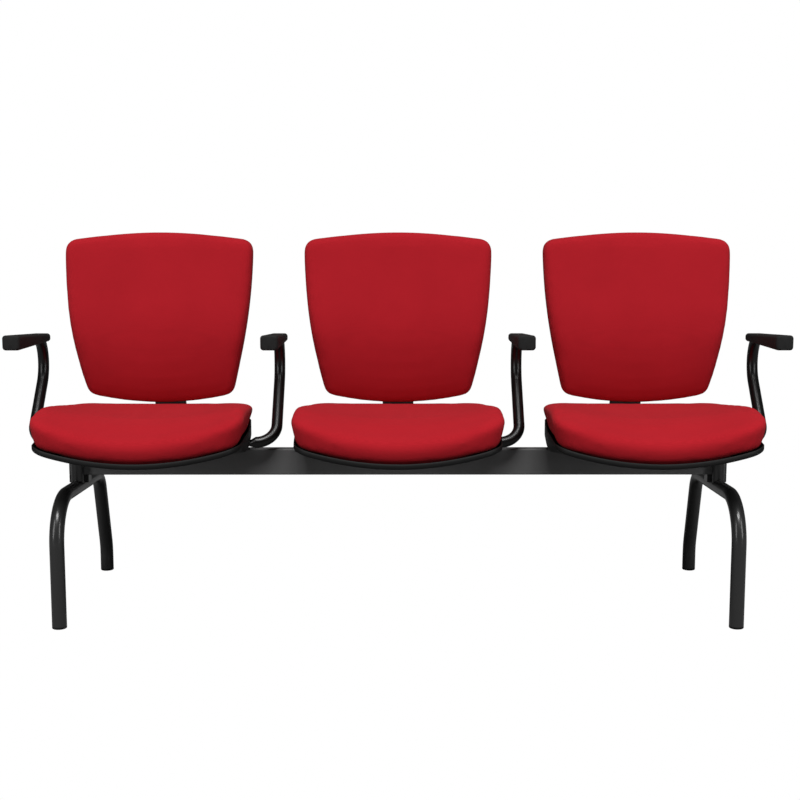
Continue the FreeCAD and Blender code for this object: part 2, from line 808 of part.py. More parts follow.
def make_seat_board(seat, shift):
    """The plywood board inside the cushion, with the threaded holes for every bolt from below."""
    name = f"seat_board_{seat}"
    board = prism(f"{name}_blank", "XY", mirrored(board_plan()), board_level, s.board_thickness)
    spots = seat_bolt_spots + blade_bolt_spots + arm_bolt_spots(seat)
    holes = upright_rods(f"{name}_hole", spots, board_level - s.shell_skin,
                         s.bolt_diameter + s.thread_clearance, s.board_thickness + s.shell_skin)
    node(name, cut(name, board, holes), shift)


def make_seat_shell(seat, shift):
    """The moulded tray under the cushion, with a pad on the bracket, bolt bosses and slots for arm feet."""
    name = f"seat_shell_{seat}"
    height = s.shell_side_wall + s.shell_front_rise * 2
    outer_plan = prism(f"{name}_plan", "XY", mirrored(shell_plan()), floor_level, height)
    closed = across_loft(f"{name}_space", shell_sections(term(0), term(0)))
    outer = common(f"{name}_outside", [outer_plan, closed])
    inner_outline = mirrored(offset_half(shell_plan(), s.shell_skin))
    inner_plan = prism(f"{name}_inner_plan", "XY", inner_outline, floor_level, height + s.shell_front_rise)
    opened = across_loft(f"{name}_hollow", shell_sections(s.shell_skin, s.shell_front_rise))
    inner = common(f"{name}_inside", [inner_plan, opened])
    tray = cut(f"{name}_tray", outer, [inner])
    pad = box(f"{name}_pad", (-s.bracket_width / 2, -s.bracket_front, floor_level),
              (s.bracket_width, s.bracket_front + s.bracket_rear - s.shell_skin, s.shell_skin))
    bosses = upright_rods(f"{name}_boss", seat_bolt_spots + blade_bolt_spots, floor_level, s.boss_diameter,
                          s.shell_skin + s.board_lift)
    whole = fuse(f"{name}_whole", [tray, pad] + bosses)
    holes = upright_rods(f"{name}_hole", seat_bolt_spots + blade_bolt_spots, floor_level - s.shell_skin, hole,
                         s.board_lift + s.shell_skin * 3)
    holes += upright_rods(f"{name}_access", arm_bolt_spots(seat), floor_level - s.shell_skin,
                          s.washer_diameter + s.hole_clearance * 4, s.board_lift + s.shell_skin * 3)
    gap = s.hole_clearance * 2
    foot_base = board_level - s.arm_foot_thickness - gap
    for side in arm_sides(seat):
        start = s.arm_foot_end - gap
        length = arm_place - start
        low = start if side == "right" else -start - length
        holes.append(box(f"{name}_slot_{side}",
                         (low, -s.arm_foot_reach - s.arm_foot_width / 2 - gap, foot_base),
                         (length, s.arm_foot_width + gap * 2, s.arm_diameter - gap)))
    node(name, cut(name, whole, holes), shift)


def make_seat_cushion(seat, shift):
    """The foam and its cover: a dished top, a rolled front and a fill around the board."""
    name = f"seat_cushion_{seat}"
    gap = s.soft_clearance
    front_base = rim_level + gap
    side_base = floor_level + s.shell_side_wall + gap - s.shell_skin
    rise = s.shell_front_rise
    dish = s.cushion_dish
    crest = rim_level + s.cushion_height
    sections = [
        (-s.cushion_front - gap, front_base, rise, rim_level + s.cushion_face_height, rise),
        (-s.cushion_front + s.cushion_roll_depth, front_base, rise, rim_level + s.cushion_roll_height, rise),
        (-s.shell_blend_front, front_base, rise, crest - s.cushion_front_drop, s.cushion_front_dish),
        (-s.shell_blend_rear, side_base, s.shell_skin, crest, dish),
        (s.cushion_rear - s.cushion_roll_depth, side_base, s.shell_skin, crest - s.cushion_rear_slope, dish),
        (s.cushion_rear + gap, side_base, s.shell_skin, crest - s.cushion_rear_drop, dish),
    ]
    height = s.cushion_height + s.shell_side_wall
    plan = prism(f"{name}_plan", "XY", mirrored(cushion_plan()), floor_level, height)
    upper = common(f"{name}_upper", [plan, across_loft(f"{name}_space", sections)])
    fill_height = side_base + s.shell_skin - board_top
    fill = prism(f"{name}_fill", "XY", mirrored(board_plan()), board_top, fill_height)
    whole = fuse(f"{name}_whole", [upper, fill])
    board_space = prism(f"{name}_board_space", "XY", mirrored(board_plan()), board_level - s.shell_skin,
                        s.board_thickness + s.shell_skin)
    node(name, cut(name, whole, [board_space]), shift)


def make_seat_bolts():
    """Bolts under every seat: bracket to beam, bracket to board, blade to board and arm feet to board."""
    groups = {"bracket_bolts": [], "seat_bolts": [], "blade_bolts": [], "arm_bolts": []}
    reach = s.board_thickness - s.thread_clearance
    for seat, shift in seat_shifts.items():
        for side, sign in SIDES.items():
            name = f"bracket_bolt_{seat}_{side}"
            along = shift + s.bracket_bolt_spacing / 2 * sign
            back = s.beam_depth + s.bracket_thickness
            length = back + s.bracket_thickness + s.bolt_nut_height
            groups["bracket_bolts"].append(bolt(name, (along, back, bracket_bolt_level), "y", s.bolt_diameter,
                                                -length, s.bolt_head, s.bolt_head_height))
            front = (along, -s.bracket_thickness - s.bolt_nut_height, bracket_bolt_level)
            nut = rod(f"{name}_nut_blank", front, "y", s.bolt_head, s.bolt_nut_height)
            thread = rod(f"{name}_nut_bore", front, "y", s.bolt_diameter + s.thread_clearance,
                         s.bolt_nut_height)
            groups["bracket_bolts"].append(cut(f"{name}_nut", nut, [thread]))
        plans = [
            ("seat_bolts", seat_bolt_spots, beam_top),
            ("blade_bolts", blade_bolt_spots, beam_top - s.blade_thickness),
            ("arm_bolts", arm_bolt_spots(seat), board_level - s.arm_foot_thickness),
        ]
        for kind, spots, base in plans:
            length = board_level + reach - base
            for number, (x, y) in enumerate(spots):
                spot = (shift + x, y, base)
                groups[kind].append(bolt(f"{kind}_{seat}_{number}", spot, "z", s.bolt_diameter, length,
                                         s.bolt_head, s.bolt_head_height))
    for kind, bolts in groups.items():
        node(kind, group(kind, bolts))


# Backs

def back_line(offset):
    """The back's upright line in the YZ plane, bottom to top, moved to the rear by an offset."""
    return [
        (s.back_bottom_reach + offset, s.back_bottom - s.back_shell_depth, None),
        (s.back_lumbar_reach + offset, s.back_lumbar_level, s.back_lumbar_radius),
        (s.back_top_reach + offset, s.back_top + s.back_shell_depth, None),
    ]


def back_band(name, front, rear):
    """The space between two upright back lines, as wide as a seat."""
    outline = back_line(front) + list(reversed(back_line(rear)))
    return prism(name, "YZ", outline, -far / 2, far)


def back_outline(inset):
    """Right half of the back's outline from the front, bottom to top, its ends and its side bowed."""
    half_width = s.back_half_width - inset
    low = (half_width - s.back_bottom_inset, s.back_bottom + s.back_bottom_rise + inset)
    side_level = s.back_bottom + (s.back_top - s.back_bottom) * s.back_side_share
    middle = (half_width - s.back_side_inset, side_level)
    high = (half_width, s.back_top - s.back_top_drop - inset)
    dip, bottom_bow = end_bow(low[0], s.back_bottom_rise, s.back_bottom_bow)
    crown, top_bow = end_bow(high[0], s.back_top_drop, s.back_top_bow)
    return [
        (term(0), low[1] - dip, bottom_bow),
        (*low, s.back_bottom_radius),
        (*middle, side_bow(low, middle, high, s.back_side_bow)),
        (*high, s.back_top_radius),
        (term(0), high[1] + crown, top_bow),
    ]


def back_block(name, inset):
    """The back's outline carried through the whole depth that a back can take."""
    return prism(name, "XZ", mirrored(back_outline(inset)), -far / 2, far)


def back_bolt_spots():
    """Places of the bolts through the blade's head: across the blade, and up it."""
    return [(s.blade_bolt_spacing / 2 * sign, s.back_bolt_level + s.back_bolt_pitch * row)
            for sign in SIDES.values() for row in (0, 1)]


def cross_rods(name, reach, diameter, length):
    """Round bars to the rear, one at each bolt of the blade's head."""
    return [rod(f"{name}_{number}", (x, reach, z), "y", diameter, length)
            for number, (x, z) in enumerate(back_bolt_spots())]


def make_back(seat, shift):
    """The back of one seat: a cushion, a board behind it, and a moulded shell with the blade's boss."""
    gap = s.soft_clearance
    name = f"back_cushion_{seat}"
    face = back_band(f"{name}_band", -s.back_cushion_thickness, -gap)
    node(name, common(name, [back_block(f"{name}_block", 0), face]), shift)

    name = f"back_board_{seat}"
    band = back_band(f"{name}_band", term(0), s.back_board_thickness)
    blank = common(f"{name}_blank", [back_block(f"{name}_block", s.back_board_inset), band])
    holes = cross_rods(f"{name}_hole", s.back_lumbar_reach / 2, s.bolt_diameter + s.thread_clearance, far / 2)
    node(name, cut(name, blank, holes), shift)

    name = f"back_shell_{seat}"
    outer = common(f"{name}_outside", [back_block(f"{name}_block", 0),
                                       back_band(f"{name}_band", term(0), s.back_shell_depth)])
    inner = common(f"{name}_inside", [back_block(f"{name}_inner_block", s.shell_skin),
                                      back_band(f"{name}_inner_band", -s.back_shell_depth,
                                                s.back_shell_depth - s.shell_skin)])
    skin = cut(f"{name}_skin", outer, [inner])
    half = s.back_boss_width / 2
    boss_low = s.blade_top - s.back_boss_height
    boss = common(f"{name}_boss", [
        box(f"{name}_boss_block", (-half, 0, boss_low), (s.back_boss_width, blade_face, s.back_boss_height)),
        back_band(f"{name}_boss_band", s.back_board_thickness, s.back_shell_depth + s.blade_stand_off),
    ])
    whole = fuse(f"{name}_whole", [skin, boss])
    holes = cross_rods(f"{name}_hole", s.back_lumbar_reach / 2, hole, far / 2)
    node(name, cut(name, whole, holes), shift)


def make_blade(seat, shift):
    """The flat steel bar that runs to the rear under the bracket, turns up and carries the back."""
    name = f"back_blade_{seat}"
    half = s.blade_thickness / 2
    blade = doc.addObject("PartDesign::Body", f"{name}_bar")
    route = body_sketch(blade, f"{name}_route", "YZ")
    draw(route, [
        (s.blade_start, blade_level, None),
        (s.blade_heel_reach, blade_level, s.blade_heel_radius),
        (blade_back, s.blade_neck_level, s.blade_neck_radius),
        (blade_back, s.blade_top, None),
    ], closed=False)
    section = body_sketch(blade, f"{name}_section", "XZ", -s.blade_start)
    wide = s.blade_width / 2
    draw(section, [(-wide, blade_level - half, None), (wide, blade_level - half, None),
                   (wide, blade_level + half, None), (-wide, blade_level + half, None)])
    doc.recompute()
    sweep = blade.newObject("PartDesign::AdditivePipe", f"{name}_sweep")
    sweep.Profile = section
    sweep.Spine = (route, [f"Edge{number + 1}" for number in range(len(route.Shape.Edges))])
    holes = upright_rods(f"{name}_hole", blade_bolt_spots, blade_level - s.blade_thickness, hole,
                         s.blade_thickness * 2)
    holes += cross_rods(f"{name}_cross", blade_face - s.blade_thickness, hole, s.blade_thickness * 3)
    node(name, cut(name, blade, holes), shift)


def make_back_bolts():
    """Bolts from behind the blade's head into the back boards."""
    bolts = []
    length = s.blade_stand_off + s.back_shell_depth + s.blade_thickness / 2 - s.back_bolt_stop
    for seat, shift in seat_shifts.items():
        for number, (x, z) in enumerate(back_bolt_spots()):
            spot = (shift + x, blade_face + s.blade_thickness, z)
            bolts.append(bolt(f"back_bolt_{seat}_{number}", spot, "y", s.bolt_diameter, -length, s.bolt_head,
                              s.bolt_head_height))
    node("back_bolts", group("back_bolts", bolts))


# Arms

def rounded_route(corners, radii):
    """A wire of straight runs with a tangent arc at each inner corner, in space."""
    edges = []
    last = corners[0]
    for index in range(1, len(corners) - 1):
        along = (corners[index] - corners[index - 1]).normalize()
        onward = (corners[index + 1] - corners[index]).normalize()
        reach = radii[index - 1] * math.tan(along.getAngle(onward) / 2)
        start = corners[index] - along * reach
        end = corners[index] + onward * reach
        inward = (onward - along).normalize()
        to_arc = math.hypot(radii[index - 1], reach) - radii[index - 1]
        if (start - last).Length > 0.01:
            edges.append(Part.LineSegment(last, start).toShape())
        edges.append(Part.Arc(start, corners[index] + inward * to_arc, end).toShape())
        last = end
    edges.append(Part.LineSegment(last, corners[-1]).toShape())
    return Part.Wire(edges)


def arm_route(sign):
    """The arm tube's middle line at a seat's side: outwards from the foot, up and back, and forward again."""
    place_x = arm_place.value * sign
    lean = math.tan(math.radians(s.arm_lean.value))
    top_lean = math.tan(math.radians(s.arm_top_lean.value))
    foot = FreeCAD.Vector(place_x, -s.arm_foot_reach.value, s.arm_foot_level.value)
    rise = s.arm_elbow_level.value - foot.z
    elbow = foot + FreeCAD.Vector(0, rise * lean, rise)
    climb = s.arm_top_level.value + s.arm_diameter.value - elbow.z
    top = elbow + FreeCAD.Vector(0, -climb * top_lean, climb)
    start = foot - FreeCAD.Vector(s.arm_foot_bend.value * sign, 0, 0)
    return [start, foot, elbow, top]


def make_arm_tube(name, shift, sign):
    """The bent tube with its flattened foot and the plate for the pad."""
    corners = arm_route(sign)
    radii = [s.arm_foot_bend.value, s.arm_elbow_radius.value]
    route = rounded_route(corners, radii)
    outward = FreeCAD.Vector(sign, 0, 0)
    pipes = []
    for radius in (s.arm_diameter.value / 2, s.arm_diameter.value / 2 - s.arm_wall.value):
        ring = Part.Wire(Part.Circle(corners[0], outward, radius).toShape())
        pipes.append(route.makePipeShell([ring], True, False))
    tube = pipes[0].cut(pipes[1])
    above = Part.makeBox(far.value, far.value, far.value,
                         FreeCAD.Vector(corners[0].x - far.value / 2, -far.value / 2, s.arm_top_level.value))
    tube = tube.cut(above)
    flat_end = (arm_place - s.arm_foot_bend - s.arm_neck_length).value
    flat_length = flat_end - s.arm_foot_end.value
    foot_middle = FreeCAD.Vector(flat_end * sign, -s.arm_foot_reach.value,
                                 board_level.value - s.arm_foot_thickness.value / 2)
    oval = Part.Ellipse(FreeCAD.Vector(0, 0, 0), s.arm_foot_width.value / 2, s.arm_foot_thickness.value / 2)
    oval_wire = Part.Wire(oval.toShape())
    facing = FreeCAD.Placement(foot_middle, ROTATIONS["YZ"])
    oval_wire.Placement = facing
    circle_wire = Part.Wire(Part.Circle(FreeCAD.Vector(0, 0, 0), FreeCAD.Vector(0, 0, 1),
                                        s.arm_diameter.value / 2).toShape())
    circle_wire.Placement = FreeCAD.Placement(corners[0], ROTATIONS["YZ"])
    neck = Part.makeLoft([oval_wire, circle_wire], True, False)
    low_x = s.arm_foot_end.value if sign > 0 else -flat_end
    flat = Part.makeBox(flat_length, s.arm_foot_width.value, s.arm_foot_thickness.value,
                        FreeCAD.Vector(low_x, -s.arm_foot_reach.value - s.arm_foot_width.value / 2,
                                       board_level.value - s.arm_foot_thickness.value))
    plate_spot = FreeCAD.Vector(arm_place.value * sign - s.arm_plate_width.value / 2,
                                -s.arm_plate_front.value, s.arm_top_level.value)
    plate = Part.makeBox(s.arm_plate_width.value, s.arm_plate_front.value + s.arm_plate_rear.value,
                         s.arm_plate_thickness.value, plate_spot)
    shape = tube.fuse([neck, flat, plate])
    for row in (0, 1):
        along = (s.arm_foot_end.value + s.arm_bolt_inset.value + s.arm_bolt_pitch.value * row) * sign
        base = FreeCAD.Vector(along, -s.arm_foot_reach.value, flat.BoundBox.ZMin - 1)
        shape = shape.cut(Part.makeCylinder(hole.value / 2, s.arm_foot_thickness.value + 2, base))
        screw_reach = s.pad_screw_pitch.value * row - s.pad_screw_reach.value
        screw = FreeCAD.Vector(arm_place.value * sign, screw_reach, s.arm_top_level.value - 1)
        screw_hole = (s.screw_diameter.value + s.hole_clearance.value) / 2
        shape = shape.cut(Part.makeCylinder(screw_hole, s.arm_plate_thickness.value + 2, screw))
    arm = doc.addObject("Part::Feature", name)
    arm.Shape = shape
    arm.Placement = FreeCAD.Placement(FreeCAD.Vector(shift.value, 0, 0), FreeCAD.Rotation())
    node(name, arm, shift)


def make_arm_pad(name, shift, sign):
    """The moulded pad: thicker at the front, with a recess for the arm's plate and two blind screw holes."""
    middle = arm_place * sign
    half = s.pad_width / 2
    plan = prism(f"{name}_plan", "XY", [
        (middle - half, -s.pad_front, s.pad_corner_radius),
        (middle + half, -s.pad_front, s.pad_corner_radius),
        (middle + half, s.pad_rear, s.pad_corner_radius),
        (middle - half, s.pad_rear, s.pad_corner_radius),
    ], s.arm_elbow_level, far)
    side = prism(f"{name}_side", "YZ", [
        (-s.pad_front, s.pad_front_bottom, s.pad_nose_radius),
        (s.pad_rear, s.pad_rear_bottom, None),
        (s.pad_rear, s.pad_rear_top, s.pad_nose_radius / 2),
        (-s.pad_front, s.pad_front_top, s.pad_nose_radius),
    ], middle - far / 2, far)
    blank = common(f"{name}_blank", [plan, side])
    gap = s.thread_clearance
    recess_low = (middle - s.arm_plate_width / 2 - gap, -s.arm_plate_front - gap,
                  s.arm_top_level - s.arm_diameter)
    recess_size = (s.arm_plate_width + gap * 2, s.arm_plate_front + s.arm_plate_rear + gap * 2,
                   s.arm_diameter + s.arm_plate_thickness)
    recess = box(f"{name}_recess", recess_low, recess_size)
    tools = [recess]
    for row in (0, 1):
        spot = (middle, -s.pad_screw_reach + s.pad_screw_pitch * row, s.arm_top_level)
        tools.append(rod(f"{name}_bore_{row}", spot, "z", s.screw_diameter + gap,
                         s.arm_plate_thickness + s.pad_screw_bite + gap))
    node(name, cut(name, blank, [fuse(f"{name}_cavity", tools)]), shift)


def make_arms():
    """Four arms: the left seat's two, and the right one of the other seats."""
    screws = []
    for seat, shift in seat_shifts.items():
        for side in arm_sides(seat):
            sign = SIDES[side]
            make_arm_tube(f"arm_tube_{seat}_{side}", shift, sign)
            make_arm_pad(f"arm_pad_{seat}_{side}", shift, sign)
            for row in (0, 1):
                reach = s.pad_screw_pitch * row - s.pad_screw_reach
                spot = (shift + arm_place * sign, reach, s.arm_top_level)
                length = s.arm_plate_thickness + s.pad_screw_bite
                screws.append(bolt(f"pad_screw_{seat}_{side}_{row}", spot, "z", s.screw_diameter, length,
                                   s.screw_head, s.screw_head_height, washer=False))
    node("pad_screws", group("pad_screws", screws))


def build():
    """Make every piece."""
    make_beam()
    for side, sign in SIDES.items():
        make_beam_cap(side, sign)
        make_leg(side, sign)
    make_leg_bolts()
    for seat, shift in seat_shifts.items():
        make_bracket(seat, shift)
        make_seat_board(seat, shift)
        make_seat_shell(seat, shift)
        make_seat_cushion(seat, shift)
        make_back(seat, shift)
        make_blade(seat, shift)
    make_seat_bolts()
    make_back_bolts()
    make_arms()


def check():
    """Stop if an object failed or a piece is not a sound solid."""
    for thing in doc.Objects:
        if "Invalid" in thing.State or "Error" in thing.State:
            raise RuntimeError(f"{thing.Name} failed: {thing.State}")
    for name, piece in nodes:
        if piece.Shape.isNull() or not piece.Shape.isValid() or not piece.Shape.Solids:
            raise RuntimeError(f"{name} has no sound solid")


def export():
    """Write every piece to a file of its own name."""
    os.makedirs("parts", exist_ok=True)
    for name, piece in nodes:
        piece.Shape.exportStep(f"parts/{name}.step")
        bounds = piece.Shape.BoundBox
        print(f"{name}: {len(piece.Shape.Solids)} solids, {piece.Shape.Volume / 1000:.1f} cm3, "
              f"x {bounds.XMin:.1f}..{bounds.XMax:.1f} y {bounds.YMin:.1f}..{bounds.YMax:.1f} "
              f"z {bounds.ZMin:.1f}..{bounds.ZMax:.1f}")


build()
doc.recompute()
check()
export()
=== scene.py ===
"""Looks of a row of three upholstered seats on one steel beam: cloth, moulded shells, paint and studio."""

import json
import logging
import math
from dataclasses import dataclass
from enum import Enum

import bmesh
import bpy
from bpy.types import Material, Node, NodeSocket, NodeTree, Object
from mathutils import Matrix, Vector

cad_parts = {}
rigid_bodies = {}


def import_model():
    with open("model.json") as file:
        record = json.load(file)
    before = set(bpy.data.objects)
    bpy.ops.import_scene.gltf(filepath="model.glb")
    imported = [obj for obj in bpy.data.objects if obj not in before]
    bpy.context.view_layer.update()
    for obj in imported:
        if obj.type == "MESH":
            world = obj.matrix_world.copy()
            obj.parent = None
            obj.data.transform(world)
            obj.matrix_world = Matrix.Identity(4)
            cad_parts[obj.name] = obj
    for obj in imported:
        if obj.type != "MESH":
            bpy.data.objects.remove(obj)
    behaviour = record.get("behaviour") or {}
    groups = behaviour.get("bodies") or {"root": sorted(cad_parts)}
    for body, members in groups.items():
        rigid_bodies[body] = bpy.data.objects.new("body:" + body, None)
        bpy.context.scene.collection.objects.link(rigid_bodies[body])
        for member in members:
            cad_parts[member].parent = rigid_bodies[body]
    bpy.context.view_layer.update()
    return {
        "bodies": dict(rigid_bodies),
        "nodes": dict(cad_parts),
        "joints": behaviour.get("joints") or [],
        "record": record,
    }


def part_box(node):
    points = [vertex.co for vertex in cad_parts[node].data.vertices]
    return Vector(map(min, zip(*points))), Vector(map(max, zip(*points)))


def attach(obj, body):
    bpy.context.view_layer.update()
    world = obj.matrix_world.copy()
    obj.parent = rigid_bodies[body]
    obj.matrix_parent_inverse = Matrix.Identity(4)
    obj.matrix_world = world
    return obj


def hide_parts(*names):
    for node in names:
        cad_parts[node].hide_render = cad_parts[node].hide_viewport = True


log = logging.getLogger("beam_seating")

MM = 0.001
WHITE = (1.0, 1.0, 1.0, 1.0)
SEATS = ("left", "middle", "right")
ARMS = (("left", "left"), ("left", "right"), ("middle", "right"), ("right", "right"))


class Slot(Enum):
    """The record's material slots for the new pieces, which no piece is given here."""

    UPHOLSTERY = "upholstery"
    PLASTIC = "black_plastic"
    PAD = "pad_foam"


# Outlines and meshes

@dataclass(frozen=True)
class Corner:
    """One corner of a flat outline, in millimetres.

    Attributes:
        x: Distance from the middle line.
        y: Distance along the middle line.
        radius: Radius that rounds the corner, if any.
        bow: How far along its sides the corner is rounded, in place of a radius.
    """

    x: float
    y: float
    radius: float = 0.0
    bow: float = 0.0


def outline(half: list[Corner], per_line: int = 10, per_arc: int = 14) -> list[Vector]:
    """Points around a closed outline that is symmetric about x = 0.

    Args:
        half: The right half's corners, the first and last on the middle line.
        per_line: Points between the ends of each straight side.
        per_arc: Points around each rounded corner.

    Returns:
        The points in order, flat and in metres, with the same count for outlines of like corners.
    """
    corners = half + [Corner(-c.x, c.y, c.radius, c.bow) for c in reversed(half[1:-1])]
    count = len(corners)
    spots = [Vector((c.x, c.y)) * MM for c in corners]
    runs = []
    for i, corner in enumerate(corners):
        before, here, after = spots[i - 1], spots[i], spots[(i + 1) % count]
        if not corner.radius and not corner.bow:
            runs.append([here])
            continue
        along, onward = (here - before).normalized(), (after - here).normalized()
        turn = along.angle(onward)
        radius = (corner.radius or corner.bow / math.tan(turn / 2)) * MM
        side = 1 if along.x * onward.y - along.y * onward.x > 0 else -1
        centre = here + (onward - along).normalized() * (radius / math.cos(turn / 2))
        start = here - along * radius * math.tan(turn / 2) - centre
        runs.append([centre + turned(start, side * turn * k / (per_arc - 1)) for k in range(per_arc)])
    points = []
    for i, run in enumerate(runs):
        points += run
        start, end = run[-1], runs[(i + 1) % count][0]
        points += [start.lerp(end, (k + 1) / (per_line + 1)) for k in range(per_line)]
    return points


def turned(point: Vector, angle: float) -> Vector:
    """A flat point turned about the origin by an angle in radians."""
    cos, sin = math.cos(angle), math.sin(angle)
    return Vector((point.x * cos - point.y * sin, point.x * sin + point.y * cos))


def relaxed(points: list[Vector], rounds: int = 6) -> list[Vector]:
    """The outline eased, each point moved towards its neighbours."""
    for _ in range(rounds):
        count = len(points)
        points = [points[i] * 0.5 + (points[i - 1] + points[(i + 1) % count]) * 0.25 for i in range(count)]
    return points


def inset(points: list[Vector], distance: float) -> list[Vector]:
    """The outline moved inwards along its own normals by a distance in metres."""
    area = sum(a.x * b.y - a.y * b.x for a, b in zip(points, points[1:] + points[:1]))
    side = 1 if area > 0 else -1
    moved = []
    for i, point in enumerate(points):
        along = (points[(i + 1) % len(points)] - points[i - 1]).normalized()
        moved.append(point + Vector((-along.y, along.x)) * side * distance)
    return moved


def toward(points: list[Vector], centre: Vector, share: float) -> list[Vector]:
    """The outline drawn towards a centre by a share of the way."""
    return [point.lerp(centre, share) for point in points]


def blended(first: list[Vector], second: list[Vector], share: float) -> list[Vector]:
    """An outline part of the way from one outline to another of like corners."""
    return [a.lerp(b, share) for a, b in zip(first, second)]


def smooth(low: float, high: float, value: float) -> float:
    """A smooth step from 0 at low to 1 at high."""
    share = min(max((value - low) / (high - low), 0.0), 1.0)
    return share * share * (3 - 2 * share)


def quarter(steps: int) -> list[tuple[float, float]]:
    """The steps of a quarter turn.

    Args:
        steps: How many steps the turn is split into.

    Returns:
        For each step from 0, one less its cosine and one less its sine.
    """
    angles = [math.pi / 2 * k / steps for k in range(steps + 1)]
    return [(1 - math.cos(angle), 1 - math.sin(angle)) for angle in angles]


def skin(name: str, rings: list[list[Vector]]) -> Object:
    """A closed mesh through rings of points, its first and last ring closed by a fan to their middle.

    Args:
        name: The object's name.
        rings: Rings with the same count of points, in metres.

    Returns:
        The new object, smooth shaded.
    """
    mesh = bmesh.new()
    rows = [[mesh.verts.new(point) for point in ring] for ring in rings]
    count = len(rows[0])
    for low, high in zip(rows, rows[1:]):
        for i in range(count):
            mesh.faces.new((low[i], low[(i + 1) % count], high[(i + 1) % count], high[i]))
    for row in (rows[0], rows[-1]):
        middle = mesh.verts.new(sum((v.co for v in row), Vector()) / count)
        for i in range(count):
            mesh.faces.new((row[i], row[(i + 1) % count], middle))
    bmesh.ops.recalc_face_normals(mesh, faces=mesh.faces)
    data = bpy.data.meshes.new(name)
    mesh.to_mesh(data)
    mesh.free()
    data.shade_smooth()
    thing = bpy.data.objects.new(name, data)
    bpy.context.scene.collection.objects.link(thing)
    return thing


def apply_modifiers(thing: Object) -> None:
    """Bake an object's modifiers into its mesh."""
    graph = bpy.context.evaluated_depsgraph_get()
    data = bpy.data.meshes.new_from_object(thing.evaluated_get(graph))
    old = thing.data
    thing.modifiers.clear()
    thing.data = data
    bpy.data.meshes.remove(old)
    data.shade_smooth()


def subdivide(thing: Object) -> None:
    """Round an object by one level of subdivision."""
    modifier = thing.modifiers.new("round", "SUBSURF")
    modifier.levels = 1
    apply_modifiers(thing)


def twin_of(thing: Object, name: str, shift: float) -> Object:
    """A copy of an object with its own mesh, moved along the beam by a shift in metres."""
    twin = bpy.data.objects.new(name, thing.data.copy())
    bpy.context.scene.collection.objects.link(twin)
    for vertex in twin.data.vertices:
        vertex.co.x += shift
    return twin


@dataclass(frozen=True)
class Inflation:
    """How a pad is blown up as cloth.

    Attributes:
        voxel: Edge of the remesh, in metres.
        pressure: Air pressure inside the cover.
        cap: How far a point may move, in metres.
        frames: Frames of simulation.
        quality: Steps of simulation in each frame.
        ease: How strongly each round of smoothing acts.
        rounds: Rounds of smoothing.
    """

    voxel: float = 0.006
    pressure: float = 4.0
    cap: float = 0.006
    frames: int = 20
    quality: int = 4
    ease: float = 0.5
    rounds: int = 6

    def swell(self, pad: Object) -> None:
        """Remesh a pad, simulate its cover under pressure, cap the movement and smooth the result.

        Args:
            pad: The closed pad, whose mesh is replaced.
        """
        remesh = pad.modifiers.new("even", "REMESH")
        remesh.mode = "VOXEL"
        remesh.voxel_size = self.voxel
        apply_modifiers(pad)
        start = [vertex.co.copy() for vertex in pad.data.vertices]
        self.simulate(pad)
        for vertex, rest in zip(pad.data.vertices, start):
            moved = vertex.co - rest
            if moved.length > self.cap:
                vertex.co = rest + moved.normalized() * self.cap
        ease = pad.modifiers.new("ease", "SMOOTH")
        ease.factor = self.ease
        ease.iterations = self.rounds
        apply_modifiers(pad)

    def simulate(self, pad: Object) -> None:
        """Let the cover give to the pressure, without gravity.

        Args:
            pad: The remeshed pad.
        """
        cloth = pad.modifiers.new("cover", "CLOTH")
        cloth.settings.use_pressure = True
        cloth.settings.uniform_pressure_force = self.pressure
        cloth.settings.effector_weights.gravity = 0
        cloth.settings.quality = self.quality
        cloth.point_cache.frame_start = 1
        cloth.point_cache.frame_end = self.frames
        for frame in range(1, self.frames + 1):
            bpy.context.scene.frame_set(frame)
        apply_modifiers(pad)
        bpy.context.scene.frame_set(1)


# Shader graphs

Value = float | NodeSocket


class Graph:
    """A node tree being filled, with one call for a node and its inputs."""

    def __init__(self, tree: NodeTree) -> None:
        """Keep the material's or the group's node tree."""
        self.tree = tree

    def add(self, kind: str, inputs: dict | None = None, **settings) -> Node:
        """Add a node.

        Args:
            kind: The node's type, such as ShaderNodeMath.
            inputs: What its inputs get, as in feed.
            settings: Properties of the node itself.

        Returns:
            The node.
        """
        node = self.tree.nodes.new(kind)
        for key, value in settings.items():
            setattr(node, key, value)
        self.feed(node, inputs or {})
        return node

    def feed(self, node: Node, inputs: dict) -> None:
        """Fill inputs of a node.

        Args:
            node: The node.
            inputs: A value or a socket for each input, by name or number.
        """
        for key, value in inputs.items():
            socket = node.inputs[key]
            if isinstance(value, NodeSocket):
                self.tree.links.new(value, socket)
            else:
                socket.default_value = value

    def math(self, operation: str, first: Value, second: Value = 0.0) -> NodeSocket:
        """The result of a math node with two inputs."""
        return self.add("ShaderNodeMath", {0: first, 1: second}, operation=operation).outputs[0]

    def noise(self, spot: NodeSocket, scale: Value, detail: float) -> NodeSocket:
        """Noise from 0 to 1, read at a spot, with a number of finer layers."""
        values = {"Vector": spot, "Scale": scale, "Detail": detail}
        return self.add("ShaderNodeTexNoise", values).outputs["Fac"]

    def varied(self, mask: NodeSocket, middle: float, spread: float) -> NodeSocket:
        """A value about a middle, spread by a mask from 0 to 1."""
        return self.math("ADD", self.math("MULTIPLY", mask, spread), middle - spread / 2)


